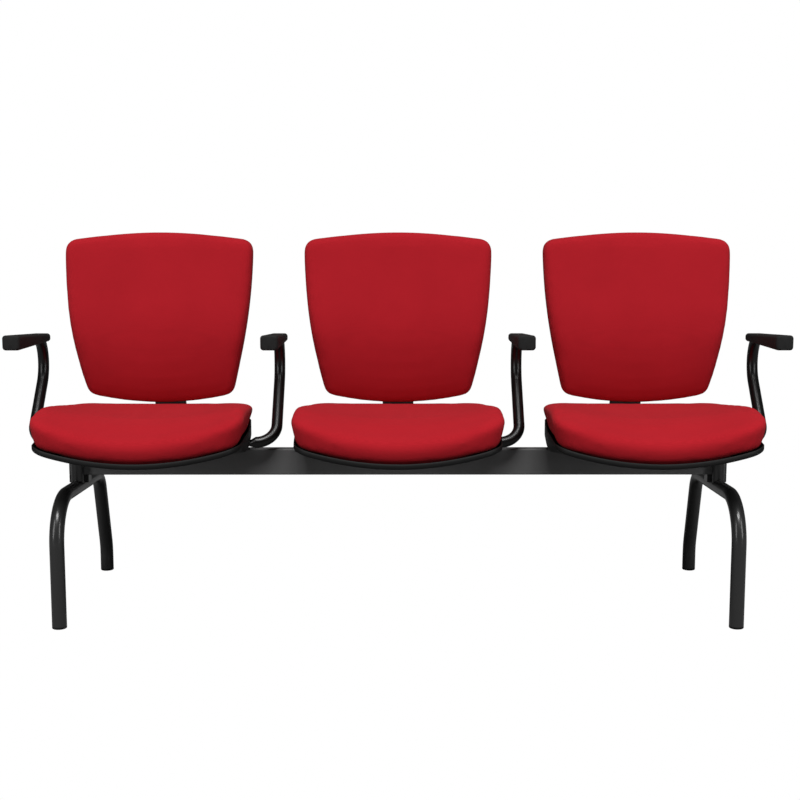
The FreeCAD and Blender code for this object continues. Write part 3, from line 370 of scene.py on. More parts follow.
def new_group(name: str, inputs: dict[str, float], outputs: list[str]) -> tuple:
    """A shader node group that is fed with positions.

    Args:
        name: The group's name.
        inputs: Default of each other input.
        outputs: The outputs' names.

    Returns:
        The group, its graph, its input node and its output node.
    """
    group = bpy.data.node_groups.new(name, "ShaderNodeTree")
    group.interface.new_socket("Position", in_out="INPUT", socket_type="NodeSocketVector")
    for label, default in inputs.items():
        socket = group.interface.new_socket(label, in_out="INPUT", socket_type="NodeSocketFloat")
        socket.default_value = default
    for label in outputs:
        group.interface.new_socket(label, in_out="OUTPUT", socket_type="NodeSocketFloat")
    graph = Graph(group)
    return group, graph, graph.add("NodeGroupInput"), graph.add("NodeGroupOutput")


def weave_group() -> NodeTree:
    """Crossing threads that need no UVs: heights of three crossed waves, broken up by noise."""
    group, graph, given, out = new_group("Weave", {"Thread": 0.0015, "Slub": 0.25}, ["Height", "Mottle"])
    turns = graph.math("DIVIDE", 2 * math.pi, given.outputs["Thread"])
    spot = given.outputs["Position"]
    parts = graph.add("ShaderNodeSeparateXYZ", {0: spot})
    waves = [graph.math("SINE", graph.math("MULTIPLY", parts.outputs[i], turns)) for i in range(3)]
    crossed = [graph.math("MULTIPLY", waves[i], waves[(i + 1) % 3]) for i in range(3)]
    total = graph.math("ADD", graph.math("ADD", crossed[0], crossed[1]), crossed[2])
    slub = graph.math("MULTIPLY", graph.noise(spot, 420.0, 2.0), given.outputs["Slub"])
    height = graph.math("ADD", graph.math("MULTIPLY", total, 0.4), slub)
    graph.feed(out, {"Height": height, "Mottle": graph.noise(spot, 9.0, 3.0)})
    return group


def grain_group() -> NodeTree:
    """Fine moulded grain: small cells and noise."""
    group, graph, given, out = new_group("Moulded grain", {"Scale": 900.0}, ["Height", "Mottle"])
    spot = given.outputs["Position"]
    cells = graph.add("ShaderNodeTexVoronoi", {"Vector": spot, "Scale": given.outputs["Scale"]})
    cloud = graph.noise(spot, 60.0, 4.0)
    mixed = graph.math("ADD", cells.outputs["Distance"], graph.math("MULTIPLY", cloud, 0.3))
    graph.feed(out, {"Height": mixed, "Mottle": cloud})
    return group


def peel_group() -> NodeTree:
    """The gentle waves of baked powder paint, with a mask of faint smudges."""
    group, graph, given, out = new_group("Paint peel", {"Scale": 260.0}, ["Height", "Smudge"])
    spot = given.outputs["Position"]
    graph.feed(out, {"Height": graph.noise(spot, given.outputs["Scale"], 1.0),
                     "Smudge": graph.noise(spot, 14.0, 5.0)})
    return group


def dust_group() -> NodeTree:
    """A mask of dust that settles on faces that look up."""
    group, graph, given, out = new_group("Settled dust", {"Amount": 0.1}, ["Mask"])
    facing = graph.add("ShaderNodeSeparateXYZ", {0: graph.add("ShaderNodeNewGeometry").outputs["Normal"]})
    upward = graph.math("POWER", graph.math("MAXIMUM", facing.outputs[2], 0.0), 3.0)
    settled = graph.math("MULTIPLY", upward, graph.noise(given.outputs["Position"], 35.0, 8.0))
    graph.feed(out, {"Mask": graph.math("MULTIPLY", settled, given.outputs["Amount"])})
    return group


class Effects:
    """The shader groups, each built once."""

    def __init__(self) -> None:
        """Build every group."""
        self.weave = weave_group()
        self.grain = grain_group()
        self.peel = peel_group()
        self.dust = dust_group()

    def place(self, graph: Graph, group: NodeTree, **values: float) -> Node:
        """Place one group in a material.

        Args:
            graph: The material's graph.
            group: The group to place.
            values: Its inputs other than Position.

        Returns:
            The group node, fed with positions in metres.
        """
        node = graph.add("ShaderNodeGroup", node_tree=group)
        spot = graph.add("ShaderNodeTexCoord").outputs["Object"]
        graph.feed(node, {"Position": spot, **{key.capitalize(): value for key, value in values.items()}})
        return node


def grey(level: float) -> tuple:
    """A neutral linear colour."""
    return (level, level, level)


def start_material(name: str) -> tuple[Material, Graph, Node]:
    """A material with its graph and its Principled BSDF."""
    material = bpy.data.materials.new(name)
    material.use_nodes = True
    return material, Graph(material.node_tree), material.node_tree.nodes["Principled BSDF"]


def shade_between(graph: Graph, factor: NodeSocket, low: tuple | NodeSocket, high: tuple) -> NodeSocket:
    """A colour between two linear colours, the lower one perhaps a socket, chosen by a factor."""
    start = low if isinstance(low, NodeSocket) else (*low, 1.0)
    ends = {"Factor": factor, "A": start, "B": (*high, 1.0)}
    return graph.add("ShaderNodeMix", ends, data_type="RGBA").outputs["Result"]


def bump(graph: Graph, height: NodeSocket, depth: float, strength: float = 1.0) -> NodeSocket:
    """A bumped normal from a height, with the depth in metres."""
    node = graph.add("ShaderNodeBump", {"Height": height, "Distance": depth, "Strength": strength})
    return node.outputs["Normal"]


@dataclass(frozen=True)
class Fabric:
    """Woven upholstery cloth.

    Attributes:
        dark: Linear colour between the threads.
        light: Linear colour on the threads.
        thread: Spacing of the threads in metres.
        depth: Depth of the weave in metres.
        wear: How far broad mottling shifts the colour.
        roughness: Roughness of the cloth.
        shine: Level of the mirror-like reflection.
        sheen: Weight of the soft sheen.
        sheen_colour: Linear colour of the sheen.
        valley: Height at which the cloth is darkest.
        crest: Height at which it is lightest.
        relief: Strength of the weave's relief.
    """

    dark: tuple
    light: tuple
    thread: float = 0.0016
    depth: float = 0.0003
    wear: float = 0.5
    roughness: float = 0.92
    shine: float = 0.1
    sheen: float = 0.05
    sheen_colour: tuple = (1.0, 0.45, 0.45)
    valley: float = -0.5
    crest: float = 0.7
    relief: float = 0.6

    def material(self, name: str, effects: Effects) -> Material:
        """Build the cloth's material."""
        material, graph, shader = start_material(name)
        weave = effects.place(graph, effects.weave, thread=self.thread)
        height = weave.outputs["Height"]
        span = {"Value": height, "From Min": self.valley, "From Max": self.crest}
        spread = graph.add("ShaderNodeMapRange", span)
        worn = graph.math("MULTIPLY", graph.math("SUBTRACT", weave.outputs["Mottle"], 0.5), self.wear)
        factor = graph.math("ADD", spread.outputs["Result"], worn)
        graph.feed(shader, {
            "Base Color": shade_between(graph, factor, self.dark, self.light),
            "Normal": bump(graph, height, self.depth, self.relief),
            "Roughness": self.roughness,
            "Specular IOR Level": self.shine,
            "Sheen Weight": self.sheen,
            "Sheen Roughness": 0.5,
            "Sheen Tint": (*self.sheen_colour, 1.0),
        })
        return material


@dataclass(frozen=True)
class Moulded:
    """Moulded plastic or foam with a grain.

    Attributes:
        colour: Linear colour.
        roughness: Roughness between the grain's cells.
        scale: Cells per metre.
        depth: Depth of the grain in metres.
        shine: Level of the mirror-like reflection.
        dust: How much dust lies on it.
        dust_colour: Linear colour of the dust.
        paler: How much lighter than its colour it gets in places.
        mottling: How far its roughness varies.
    """

    colour: tuple
    roughness: float
    scale: float = 900.0
    depth: float = 0.00008
    shine: float = 0.2
    dust: float = 0.03
    dust_colour: tuple = (0.25, 0.24, 0.22)
    paler: float = 1.3
    mottling: float = 0.12

    def material(self, name: str, effects: Effects) -> Material:
        """Build the plastic's material."""
        material, graph, shader = start_material(name)
        grain = effects.place(graph, effects.grain, scale=self.scale)
        dust = effects.place(graph, effects.dust, amount=self.dust)
        lighter = tuple(channel * self.paler for channel in self.colour)
        mottle = grain.outputs["Mottle"]
        tone = shade_between(graph, mottle, self.colour, lighter)
        graph.feed(shader, {
            "Base Color": shade_between(graph, dust.outputs["Mask"], tone, self.dust_colour),
            "Roughness": graph.varied(mottle, self.roughness, self.mottling),
            "Normal": bump(graph, grain.outputs["Height"], self.depth),
            "Specular IOR Level": self.shine,
        })
        return material


@dataclass(frozen=True)
class Paint:
    """Powder paint on steel.

    Attributes:
        colour: Linear colour.
        roughness: Roughness of the paint.
        coat: Weight of the gloss on top.
        shine: Level of the mirror-like reflection.
        peel: Depth of the paint's waves in metres.
        dust: How much dust lies on it.
        dust_colour: Linear colour of the dust.
        smudging: How far its roughness varies.
        coat_roughness: Roughness of the gloss on top.
    """

    colour: tuple
    roughness: float
    coat: float = 0.0
    shine: float = 0.5
    peel: float = 0.00003
    dust: float = 0.02
    dust_colour: tuple = (0.22, 0.21, 0.2)
    smudging: float = 0.14
    coat_roughness: float = 0.08

    def material(self, name: str, effects: Effects) -> Material:
        """Build the paint's material."""
        material, graph, shader = start_material(name)
        peel = effects.place(graph, effects.peel)
        dust = effects.place(graph, effects.dust, amount=self.dust)
        graph.feed(shader, {
            "Base Color": shade_between(graph, dust.outputs["Mask"], self.colour, self.dust_colour),
            "Roughness": graph.varied(peel.outputs["Smudge"], self.roughness, self.smudging),
            "Normal": bump(graph, peel.outputs["Height"], self.peel),
            "Specular IOR Level": self.shine,
            "Coat Weight": self.coat,
            "Coat Roughness": self.coat_roughness,
        })
        return material


@dataclass(frozen=True)
class Zinc:
    """Zinc plated steel: its two linear colours, its roughness and how far that varies, and its waves."""

    colour: tuple = (0.42, 0.42, 0.43)
    warmer: tuple = (0.56, 0.55, 0.5)
    roughness: float = 0.32
    smudging: float = 0.2
    scale: float = 700.0
    peel: float = 0.00003

    def material(self, name: str, effects: Effects) -> Material:
        """Build the metal's material."""
        material, graph, shader = start_material(name)
        peel = effects.place(graph, effects.peel, scale=self.scale)
        smudge = peel.outputs["Smudge"]
        graph.feed(shader, {
            "Base Color": shade_between(graph, smudge, self.colour, self.warmer),
            "Metallic": 1.0,
            "Roughness": graph.varied(smudge, self.roughness, self.smudging),
            "Normal": bump(graph, peel.outputs["Height"], self.peel),
        })
        return material


@dataclass(frozen=True)
class Plywood:
    """Bare plywood: its two linear colours, how often they change along each axis, and its relief."""

    light: tuple = (0.5, 0.34, 0.19)
    dark: tuple = (0.28, 0.16, 0.08)
    stretch: tuple = (4.0, 60.0, 600.0)
    depth: float = 0.0001
    roughness: float = 0.75

    def material(self, name: str, effects: Effects) -> Material:
        """Build the wood's material."""
        material, graph, shader = start_material(name)
        spot = graph.add("ShaderNodeTexCoord").outputs["Object"]
        stretched = graph.add("ShaderNodeMapping", {"Vector": spot, "Scale": self.stretch})
        rings = graph.noise(stretched.outputs[0], 1.0, 6.0)
        graph.feed(shader, {
            "Base Color": shade_between(graph, rings, self.dark, self.light),
            "Normal": bump(graph, rings, self.depth),
            "Roughness": self.roughness,
        })
        return material


class Finishes:
    """Every material of the row, by what it covers."""

    def __init__(self) -> None:
        """Build the materials."""
        effects = Effects()
        red = Fabric(dark=(0.33, 0.008, 0.014), light=(0.47, 0.013, 0.022))
        foam = Moulded(grey(0.017), roughness=0.7, scale=1400.0, depth=0.0001, shine=0.1)
        leg = Paint(grey(0.024), roughness=0.3, coat=0.3, shine=0.4, peel=0.00001)
        arm = Paint(grey(0.003), roughness=0.34, coat=0.1, shine=0.4, peel=0.000001)
        self.cloth = red.material("red_cloth", effects)
        self.shell = Moulded(grey(0.006), roughness=0.55).material("black_shell", effects)
        self.pad = foam.material("black_pad", effects)
        self.beam = Paint(grey(0.125), roughness=0.5, shine=0.35).material("satin_paint", effects)
        self.leg = leg.material("leg_paint", effects)
        self.arm = arm.material("gloss_paint", effects)
        self.zinc = Zinc().material("zinc_plate", effects)
        self.wood = Plywood().material("plywood", effects)


def laid_out(pattern: Object, nodes: list[str], ending: str, material: Material) -> list[tuple[Object, str]]:
    """Put a dressed copy of a pattern in the place of each node, and drop the pattern.

    Args:
        pattern: The piece as it lies at the middle of the row.
        nodes: The CAD nodes in whose places the copies lie.
        ending: What a copy's name adds to its node's.
        material: The copies' material.

    Returns:
        Each copy with its node.
    """
    copies = []
    for node in nodes:
        low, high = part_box(node)
        thing = twin_of(pattern, f"{node}_{ending}", (low.x + high.x) / 2)
        thing.data.materials.append(material)
        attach(thing, "root")
        log.info("%s: %d faces", thing.name, len(thing.data.polygons))
        copies.append((thing, node))
    bpy.data.objects.remove(pattern)
    return copies


# Seats

@dataclass(frozen=True)
class SeatPlan:
    """A seat outline from above: bowed front and sides, rounded corners. Lengths in millimetres."""

    front: float
    half_width: float
    corner_inset: float
    corner_drop: float
    corner_radius: float
    widest: float
    rear: float
    rear_inset: float
    rear_radius: float = 45.0
    front_bow: float = 0.55
    side_bow: float = 0.45

    def points(self) -> list[Vector]:
        """The outline's points, in metres."""
        rise = self.corner_drop / (1 - self.front_bow / 2)
        corner = self.front + self.corner_drop
        corner_x = self.half_width - self.corner_inset
        half = [
            Corner(0, corner - rise, bow=self.front_bow * corner_x),
            Corner(corner_x, corner, self.corner_radius),
            Corner(self.half_width, self.widest, bow=self.side_bow * (self.widest - corner)),
            Corner(self.half_width - self.rear_inset, self.rear, self.rear_radius),
            Corner(0, self.rear),
        ]
        return relaxed(outline(half))


@dataclass
class SeatForm:
    """The seam between tray and cushion, which both follow. Lengths in millimetres."""

    floor: float = 358.0
    rim: float = 12.5
    front_rise: float = 37.0
    rear_rise: float = 17.0
    side_wall: float = 53.0
    blend_front: float = -232.0
    blend_rear: float = -150.0
    half_width: float = 228.0
    middle: tuple = (0.0, -70.0)
    tray: SeatPlan = SeatPlan(front=-283.0, half_width=227.0, corner_inset=7.5, corner_drop=12.5,
                              corner_radius=42.0, widest=-130.0, rear=122.0, rear_inset=19.5)
    cushion: SeatPlan = SeatPlan(front=-290.0, half_width=234.0, corner_inset=3.0, corner_drop=12.0,
                                 corner_radius=58.0, widest=-100.0, rear=125.0, rear_inset=15.0)

    def seam(self, point: Vector) -> float:
        """Height of the tray's rim above the floor at a flat point, in metres."""
        x, y = point.x / MM, point.y / MM
        front = self.floor + self.rim + self.front_rise * (x / self.half_width) ** 2
        rear = self.floor + self.side_wall
        return (front + (rear - front) * smooth(self.blend_front, self.blend_rear, y)) * MM

    def base(self, point: Vector) -> float:
        """Height of the tray's underside at a flat point, in metres."""
        x, y = point.x / MM, point.y / MM
        backward = smooth(self.blend_front, self.blend_rear, y)
        rise = self.front_rise + (self.rear_rise - self.front_rise) * backward
        return (self.floor + rise * (x / self.half_width) ** 2) * MM


@dataclass
class SeatCushion:
    """The seat's pad: rolled front, upright sides and dished top. Lengths in millimetres.

    Upright is the share of the side's height below its roll, and side_upright what the sides add to it.
    The slopes are where the top starts and stops to change from front to rear. The cushion lies its slack
    inside the outline, and give times that is how far the cover may move. Sunk is how far it reaches
    below the seam, and bulge how early its side swells. Under, rising and over place the rings, as shares
    of the way to the middle or up the side.
    """

    form: SeatForm
    roll: float = 16.0
    tuck: float = 4.0
    upright: float = 0.52
    side_upright: float = 0.28
    front_level: float = 416.0
    crest_level: float = 446.0
    rear_level: float = 443.0
    front_dish: float = 48.0
    dish: float = 28.0
    rear_dish: float = 1.5
    front_slope: tuple = (-289.0, -170.0)
    rear_slope: tuple = (0.0, 125.0)
    dish_slope: tuple = (-150.0, 100.0)
    slack: float = 2.5
    give: float = 1.6
    sunk: float = 4.0
    bulge: float = 0.7
    under: tuple = (0.6, 0.12)
    rising: tuple = (0.0, 0.3, 0.6, 0.85, 1.0)
    over: tuple = (0.12, 0.3, 0.5, 0.7, 0.88)
    roll_steps: int = 7

    def top(self, point: Vector) -> float:
        """Height of the seat's top at a flat point, in metres."""
        x, y = point.x / MM, point.y / MM
        forward = smooth(*self.front_slope, y)
        level = self.front_level + (self.crest_level - self.front_level) * forward
        level += (self.rear_level - self.crest_level) * smooth(*self.rear_slope, y)
        dish = self.front_dish + (self.dish - self.front_dish) * forward
        dish += (self.rear_dish - self.dish) * smooth(*self.dish_slope, y)
        return (level + dish * (x / self.form.half_width) ** 2) * MM

    def shoulder(self, seam_point: Vector) -> float:
        """Height at which the side above a point of the seam starts to roll over, in metres."""
        seam = self.form.seam(seam_point)
        share = self.upright + self.side_upright * (seam_point.x / MM / self.form.half_width) ** 2
        return seam + (self.top(seam_point) - seam) * share

    def rings(self) -> list[list[Vector]]:
        """Rings from under the cushion, out over its side and in to the middle of its top."""
        seam_line = inset(self.form.tray.points(), self.tuck * MM)
        side_line = inset(self.form.cushion.points(), self.slack * MM)
        middle = Vector(self.form.middle) * MM
        rings = []
        for share in self.under:
            line = toward(seam_line, middle, share)
            rings.append([Vector((*p, self.form.seam(p) - self.sunk * MM)) for p in line])
        for share in self.rising:
            line = blended(seam_line, side_line, share ** self.bulge)
            ring = []
            for p, s in zip(line, seam_line):
                seam = self.form.seam(s)
                ring.append(Vector((*p, seam + (self.shoulder(s) - seam) * share)))
            rings.append(ring)
        for inward, short in quarter(self.roll_steps)[1:]:
            line = inset(side_line, self.roll * MM * inward)
            ring = []
            for p, s in zip(line, seam_line):
                shoulder = self.shoulder(s)
                ring.append(Vector((*p, shoulder + (self.top(p) - shoulder) * (1 - short))))
            rings.append(ring)
        last = inset(side_line, self.roll * MM)
        for share in self.over:
            rings.append([Vector((*p, self.top(p))) for p in toward(last, middle, share)])
        return rings

    def build(self, finishes: Finishes) -> None:
        """Make the three seats' cushions from one simulated pad."""
        pad = skin("seat_cushion_pattern", self.rings())
        Inflation(cap=self.slack * MM * self.give).swell(pad)
        subdivide(pad)
        nodes = [f"seat_cushion_{seat}" for seat in SEATS]
        for cushion, node in laid_out(pad, nodes, "cover", finishes.cloth):
            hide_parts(node)


@dataclass
class SeatTray:
    """The moulded tray under a seat. Lengths in millimetres.

    Inside and beneath place the rings, as shares of the way from the rim to the middle.
    """

    form: SeatForm
    wall: float = 3.0
    edge: float = 5.0
    lip: float = 1.2
    inside: tuple = (0.95, 0.6, 0.3, 0.06)
    beneath: tuple = (0.08, 0.3, 0.6, 0.95)
    edge_steps: int = 5

    def rings(self) -> list[list[Vector]]:
        """Rings from inside the tray, over its rim and under it to the middle."""
        line = self.form.tray.points()
        inner = inset(line, self.wall * MM)
        middle = Vector(self.form.middle) * MM
        rings = []
        for share in self.inside:
            around = toward(inner, middle, share)
            rings.append([Vector((*p, self.form.base(p) + self.wall * MM)) for p in around])
        rings.append([Vector((*p, self.form.base(p) + self.wall * 2 * MM)) for p in inner])
        rim = inset(line, self.wall / 2 * MM)
        for source, drop in ((inner, self.lip), (rim, 0.0), (line, self.lip)):
            rings.append([Vector((*p, self.form.seam(q) - drop * MM)) for p, q in zip(source, line)])
        rings.append([Vector((*p, (self.form.seam(p) + self.form.base(p)) / 2)) for p in line])
        for inward, short in quarter(self.edge_steps):
            around = inset(line, self.edge * MM * inward)
            lift = self.edge * MM * short
            rings.append([Vector((*p, self.form.base(p) + lift)) for p in around])
        last = inset(line, self.edge * MM)
        for share in self.beneath:
            rings.append([Vector((*p, self.form.base(p))) for p in toward(last, middle, share)])
        return rings

    def build(self, finishes: Finishes) -> None:
        """Make the three trays."""
        pattern = skin("tray_pattern", self.rings())
        nodes = [f"seat_shell_{seat}" for seat in SEATS]
        for tray, node in laid_out(pattern, nodes, "tray", finishes.shell):
            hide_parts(node)


# Backs

@dataclass
class BackForm:
    """The upright line and the outline that the back's cushion and shell share. Lengths in millimetres.

    The line runs from the bottom over the lumbar point to the top and is rounded by the radius. Its lean
    is measured over a probe above and below. A crown ends at crown_reach from the middle, and tilt is the
    share of a piece's rise along the leaning normal that it takes up.
    """

    bottom: tuple = (130.0, 428.0)
    lumbar: tuple = (82.0, 583.6)
    top: tuple = (146.5, 863.5)
    radius: float = 400.0
    corners: tuple = (Corner(0, 432.3, bow=139), Corner(170, 470.5, 28), Corner(219.5, 643.8, bow=138),
                      Corner(221, 827, 29), Corner(0, 859.5, bow=150))
    middle: tuple = (0.0, 650.0)
    probe: float = 4.0
    crown_reach: float = 200.0
    tilt: float = 0.3

    def points(self) -> list[Vector]:
        """The outline's points (x, z), in metres."""
        return relaxed(outline(list(self.corners), per_line=14))

    def reach(self, height: float) -> float:
        """How far back the line lies at a height, both in metres."""
        z = height / MM
        low, knee, high = Vector(self.bottom), Vector(self.lumbar), Vector(self.top)
        below, above = (low - knee).normalized(), (high - knee).normalized()
        half = below.angle(above) / 2
        run = self.radius / math.tan(half)
        start, end = knee + below * run, knee + above * run
        centre = knee + (below + above).normalized() * (self.radius / math.sin(half))
        if z <= start.y:
            reach = knee.x + below.x / below.y * (z - knee.y)
        elif z >= end.y:
            reach = knee.x + above.x / above.y * (z - knee.y)
        else:
            reach = centre.x - math.sqrt(self.radius ** 2 - (z - centre.y) ** 2)
        return reach * MM

    def lean(self, height: float) -> Vector:
        """The line's forward normal at a height, as a flat (y, z) vector."""
        step = self.probe * MM
        slope = (self.reach(height + step) - self.reach(height - step)) / (2 * step)
        return Vector((-1.0, slope)).normalized()

    def ring(self, points: list[Vector], forward: float, crown: float = 0.0) -> list[Vector]:
        """The outline's points on the line, moved forward along its normal.

        Args:
            points: Flat points (x, z) in metres.
            forward: Distance in front of the line, in metres.
            crown: Extra distance in the middle, in metres.

        Returns:
            Points in space.
        """
        placed = []
        for p in points:
            facing = self.lean(p.y)
            ahead = forward + crown * max(0.0, 1 - (p.x / (self.crown_reach * MM)) ** 2)
            height = p.y + facing.y * ahead * self.tilt
            placed.append(Vector((p.x, self.reach(p.y) + facing.x * ahead, height)))
        return placed


@dataclass
class BackCushion:
    """The back's pad. Lengths in millimetres.

    The cushion lies its slack inside the outline, and give times that is how far the cover may move.
    Hollow is its distance from the upright line behind. Behind and face place the rings, as shares of the
    way to the middle, and flank says how far in front of the line and inside the outline the edge lies.
    """

    form: BackForm
    thickness: float = 44.0
    roll: float = 17.0
    crown: float = 2.0
    slack: float = 1.6
    give: float = 1.6
    hollow: float = 2.0
    behind: tuple = (0.9, 0.5, 0.12)
    flank: tuple = ((0.8, 3.0), (4.0, 1.0), (12.0, 0.0), (22.0, 0.0))
    face: tuple = (0.1, 0.25, 0.45, 0.65, 0.85)
    roll_steps: int = 6

    def rings(self) -> list[list[Vector]]:
        """Rings from behind the cushion, out over its edge and in to the middle of its face."""
        side = inset(self.form.points(), self.slack * MM)
        middle = Vector(self.form.middle) * MM
        rings = [self.form.ring(toward(side, middle, share), self.hollow * MM) for share in self.behind]
        for lead, gap in self.flank:
            rings.append(self.form.ring(inset(side, gap * MM), lead * MM))
        for inward, short in quarter(self.roll_steps)[1:]:
            around = inset(side, self.roll * MM * inward)
            rings.append(self.form.ring(around, (self.thickness - self.roll * short) * MM))
        last = inset(side, self.roll * MM)
        for share in self.face:
            around = toward(last, middle, share)
            rings.append(self.form.ring(around, self.thickness * MM, self.crown * MM))
        return rings

    def build(self, finishes: Finishes) -> None:
        """Make the three backs' cushions from one simulated pad."""
        pad = skin("back_cushion_pattern", self.rings())
        Inflation(voxel=0.005, cap=self.slack * MM * self.give).swell(pad)
        subdivide(pad)
        nodes = [f"back_cushion_{seat}" for seat in SEATS]
        for cushion, node in laid_out(pad, nodes, "cover", finishes.cloth):
            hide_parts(node)


@dataclass
class BackShell:
    """The moulded shell behind a back. Lengths in millimetres.

    Inside and outside place the rings, as shares of the way from the rim to the middle.
    """

    form: BackForm
    depth: float = 20.0
    wall: float = 3.0
    edge: float = 14.0
    gap: float = 6.0
    inside: tuple = (0.95, 0.5, 0.08)
    outside: tuple = (0.08, 0.25, 0.5, 0.75, 0.95)
    edge_steps: int = 6

    def rings(self) -> list[list[Vector]]:
        """Rings from inside the shell, over its rim and round to the middle of its rear."""
        line = inset(self.form.points(), self.gap * MM)
        inner = inset(line, self.wall * MM)
        middle = Vector(self.form.middle) * MM
        rings = [self.form.ring(toward(inner, middle, share), -(self.depth - self.wall) * MM)
                 for share in self.inside]
        rings.append(self.form.ring(inner, -self.wall * MM))
        rings.append(self.form.ring(inner, 0.0))
        rings.append(self.form.ring(line, 0.0))
        for inward, short in quarter(self.edge_steps):
            around = inset(line, self.edge * MM * inward)
            rings.append(self.form.ring(around, -(self.depth - self.edge * short) * MM))
        last = inset(line, self.edge * MM)
        for share in self.outside:
            rings.append(self.form.ring(toward(last, middle, share), -self.depth * MM))
        return rings

    def build(self, finishes: Finishes) -> None:
        """Make the three shells."""
        pattern = skin("shell_pattern", self.rings())
        nodes = [f"back_shell_{seat}" for seat in SEATS]
        for shell, node in laid_out(pattern, nodes, "cover", finishes.shell):
            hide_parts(node)


# Arms

@dataclass
class ArmPad:
    """The moulded pad on an arm: deep at the front, thin behind. Lengths in millimetres.

    Thinning is how much of the pull at its rounded ends its top and bottom take up.
    """

    front: float = -166.0
    rear: float = 102.0
    half_width: float = 19.5
    front_top: float = 630.0
    rear_top: float = 611.5
    front_bottom: float = 597.0
    rear_bottom: float = 593.0
    edge: float = 7.0
    plan_corner: float = 8.0
    thinning: float = 0.35
    narrowest: float = 0.8
    arc_points: int = 6
    end_steps: int = 6

    def section(self, reach: float, half: float, trim: float) -> list[Vector]:
        """One upright section of the pad.

        Args:
            reach: Its place along the pad, in millimetres.
            half: Half its width, in millimetres.
            trim: How much lower its top and higher its bottom lie near the ends, in millimetres.

        Returns:
            Points in metres.
        """
        share = (reach - self.front) / (self.rear - self.front)
        top = self.front_top + (self.rear_top - self.front_top) * share - trim
        bottom = self.front_bottom + (self.rear_bottom - self.front_bottom) * share + trim
        edge = min(self.edge, half * self.narrowest)
        points = []
        for side_x, side_z, start in ((1, -1, -90), (1, 1, 0), (-1, 1, 90), (-1, -1, 180)):
            for k in range(self.arc_points):
                angle = math.radians(start + 90 * k / (self.arc_points - 1))
                x = side_x * (half - edge) + edge * math.cos(angle)
                z = (top - edge if side_z > 0 else bottom + edge) + edge * math.sin(angle)
                points.append(Vector((x, reach, z)) * MM)
        return points

    def rings(self) -> list[list[Vector]]:
        """Sections from the front end to the rear end."""
        corner = self.plan_corner
        ends = [(corner * ahead, corner * pull) for ahead, pull in quarter(self.end_steps)]
        stops = [(self.front + ahead, pull) for ahead, pull in ends]
        stops += [(self.front + (self.rear - self.front) * share, 0.0) for share in (0.25, 0.5, 0.75)]
        stops += [(self.rear - ahead, pull) for ahead, pull in reversed(ends)]
        return [self.section(reach, self.half_width - pull, pull * self.thinning) for reach, pull in stops]

    def build(self, finishes: Finishes) -> None:
        """Make the four pads."""
        pattern = skin("pad_pattern", self.rings())
        nodes = [f"arm_pad_{seat}_{side}" for seat, side in ARMS]
        for pad, node in laid_out(pattern, nodes, "cover", finishes.pad):
            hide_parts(node)


# Carried pieces

class Steelwork:
    """The pieces that keep their shape from the frame: steel, plastic trim, boards and fasteners."""

    def __init__(self, frame: dict) -> None:
        """Keep the nodes of the loaded frame."""
        self.nodes = frame["nodes"]

    def finish_for(self, name: str, finishes: Finishes) -> Material:
        """The material of a carried node.

        Args:
            name: The node's name.
            finishes: The materials.

        Returns:
            The material that it gets.
        """
        choices = (("bolts", finishes.zinc), ("screws", finishes.zinc), ("arm_tube", finishes.arm),
                   ("leg_", finishes.leg), ("cap", finishes.shell), ("foot_glide", finishes.shell),
                   ("board", finishes.wood))
        for word, material in choices:
            if word in name:
                return material
        return finishes.beam

    def dress(self, finishes: Finishes) -> None:
        """Give every shown node its material."""
        for name, thing in self.nodes.items():
            material = self.finish_for(name, finishes)
            if not thing.material_slots:
                thing.data.materials.append(material)
            for slot in thing.material_slots:
                slot.material = material
            log.info("%s carried", name)


# Studio

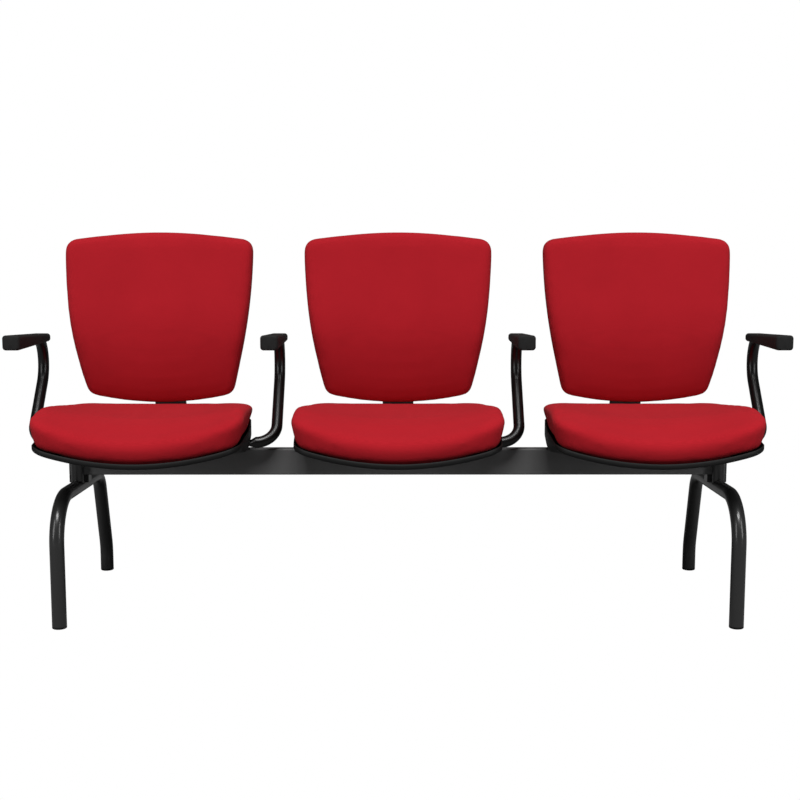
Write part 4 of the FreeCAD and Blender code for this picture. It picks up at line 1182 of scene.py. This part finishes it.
@dataclass
class Studio:
    """A white floor, soft light and the photograph's camera.

    Lengths are in metres, angles in degrees, the sensor's width in millimetres, and the focal length and
    the picture's width in pixels.
    """

    camera_spot: tuple = (0.0, -3.0874, 0.89)
    pitch: float = 7.79
    yaw: float = 0.084
    focal: float = 1367.0
    picture: float = 800.0
    sensor: float = 36.0
    floor_tone: float = 0.2
    sun_strength: float = 2.95
    sun_slant: float = 25.0
    sun_spread: float = 30.0
    sky: float = 0.05
    floor_half: float = 30.0
    boxes: tuple = (("box_left", -2.6), ("box_right", 2.6))
    box_place: tuple = (-2.4, 1.6)
    box_aim: tuple = (0.0, 0.0, 0.5)
    box_size: tuple = (0.8, 2.2)
    box_power: float = 30.0
    box_matt_share: float = 0.1

    def build(self) -> None:
        """Make the floor, the lights, the world and the camera."""
        self.make_floor()
        self.make_lights()
        self.make_world()
        self.make_camera()

    def make_floor(self) -> None:
        """A wide pale floor, which the camera sees as white and the light as matt."""
        half = self.floor_half
        data = bpy.data.meshes.new("floor")
        spots = [(-half, -half, 0), (half, -half, 0), (half, half, 0), (-half, half, 0)]
        data.from_pydata(spots, [], [(0, 1, 2, 3)])
        floor = bpy.data.objects.new("floor", data)
        bpy.context.scene.collection.objects.link(floor)
        material, graph, shader = start_material("floor_white")
        tone = (*grey(self.floor_tone), 1.0)
        graph.feed(shader, {"Base Color": tone, "Roughness": 0.9, "Specular IOR Level": 0.0})
        glow = graph.add("ShaderNodeEmission", {"Color": WHITE, "Strength": 1.0})
        path = graph.add("ShaderNodeLightPath")
        ends = {0: path.outputs["Is Camera Ray"], 1: shader.outputs["BSDF"], 2: glow.outputs[0]}
        mixed = graph.add("ShaderNodeMixShader", ends)
        graph.feed(graph.tree.nodes["Material Output"], {"Surface": mixed.outputs[0]})
        floor.data.materials.append(material)

    def make_lights(self) -> None:
        """A wide soft sun from above the front and two upright soft boxes beside the camera."""
        sun = bpy.data.lights.new("overhead", "SUN")
        sun.energy = self.sun_strength
        sun.angle = math.radians(self.sun_spread)
        lamp = bpy.data.objects.new("overhead", sun)
        lamp.rotation_euler = (math.radians(self.sun_slant), 0.0, 0.0)
        bpy.context.scene.collection.objects.link(lamp)
        for name, x in self.boxes:
            light = bpy.data.lights.new(name, "AREA")
            light.shape = "RECTANGLE"
            light.size, light.size_y = self.box_size
            light.energy = self.box_power
            light.diffuse_factor = self.box_matt_share
            box = bpy.data.objects.new(name, light)
            box.location = (x, *self.box_place)
            aim = Vector(self.box_aim) - box.location
            box.rotation_euler = aim.to_track_quat("-Z", "Y").to_euler()
            bpy.context.scene.collection.objects.link(box)

    def make_world(self) -> None:
        """White where the camera looks past everything, dimmer as light."""
        world = bpy.data.worlds.new("studio")
        bpy.context.scene.world = world
        world.use_nodes = True
        graph = Graph(world.node_tree)
        shader = world.node_tree.nodes["Background"]
        seen = graph.add("ShaderNodeLightPath").outputs["Is Camera Ray"]
        ends = {0: seen, 1: 1.0 - self.sky, 2: self.sky}
        strength = graph.add("ShaderNodeMath", ends, operation="MULTIPLY_ADD")
        graph.feed(shader, {"Color": WHITE, "Strength": strength.outputs[0]})

    def make_camera(self) -> None:
        """The photograph's view."""
        data = bpy.data.cameras.new("photo")
        data.sensor_width = self.sensor
        data.lens = self.focal / self.picture * data.sensor_width
        data.clip_end = 100.0
        camera = bpy.data.objects.new("photo", data)
        camera.location = self.camera_spot
        camera.rotation_euler = (math.radians(90 - self.pitch), 0.0, math.radians(-self.yaw))
        bpy.context.scene.collection.objects.link(camera)
        bpy.context.scene.camera = camera
        bpy.context.scene.view_settings.view_transform = "Standard"


def main() -> None:
    """Build the row's looks around the frame."""
    logging.basicConfig(level=logging.INFO, format="%(name)s %(message)s")
    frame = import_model()
    finishes = Finishes()
    seat_form = SeatForm()
    back_form = BackForm()
    SeatCushion(seat_form).build(finishes)
    SeatTray(seat_form).build(finishes)
    BackCushion(back_form).build(finishes)
    BackShell(back_form).build(finishes)
    ArmPad().build(finishes)
    Steelwork(frame).dress(finishes)
    Studio().build()


if __name__ == "__main__":
    main()
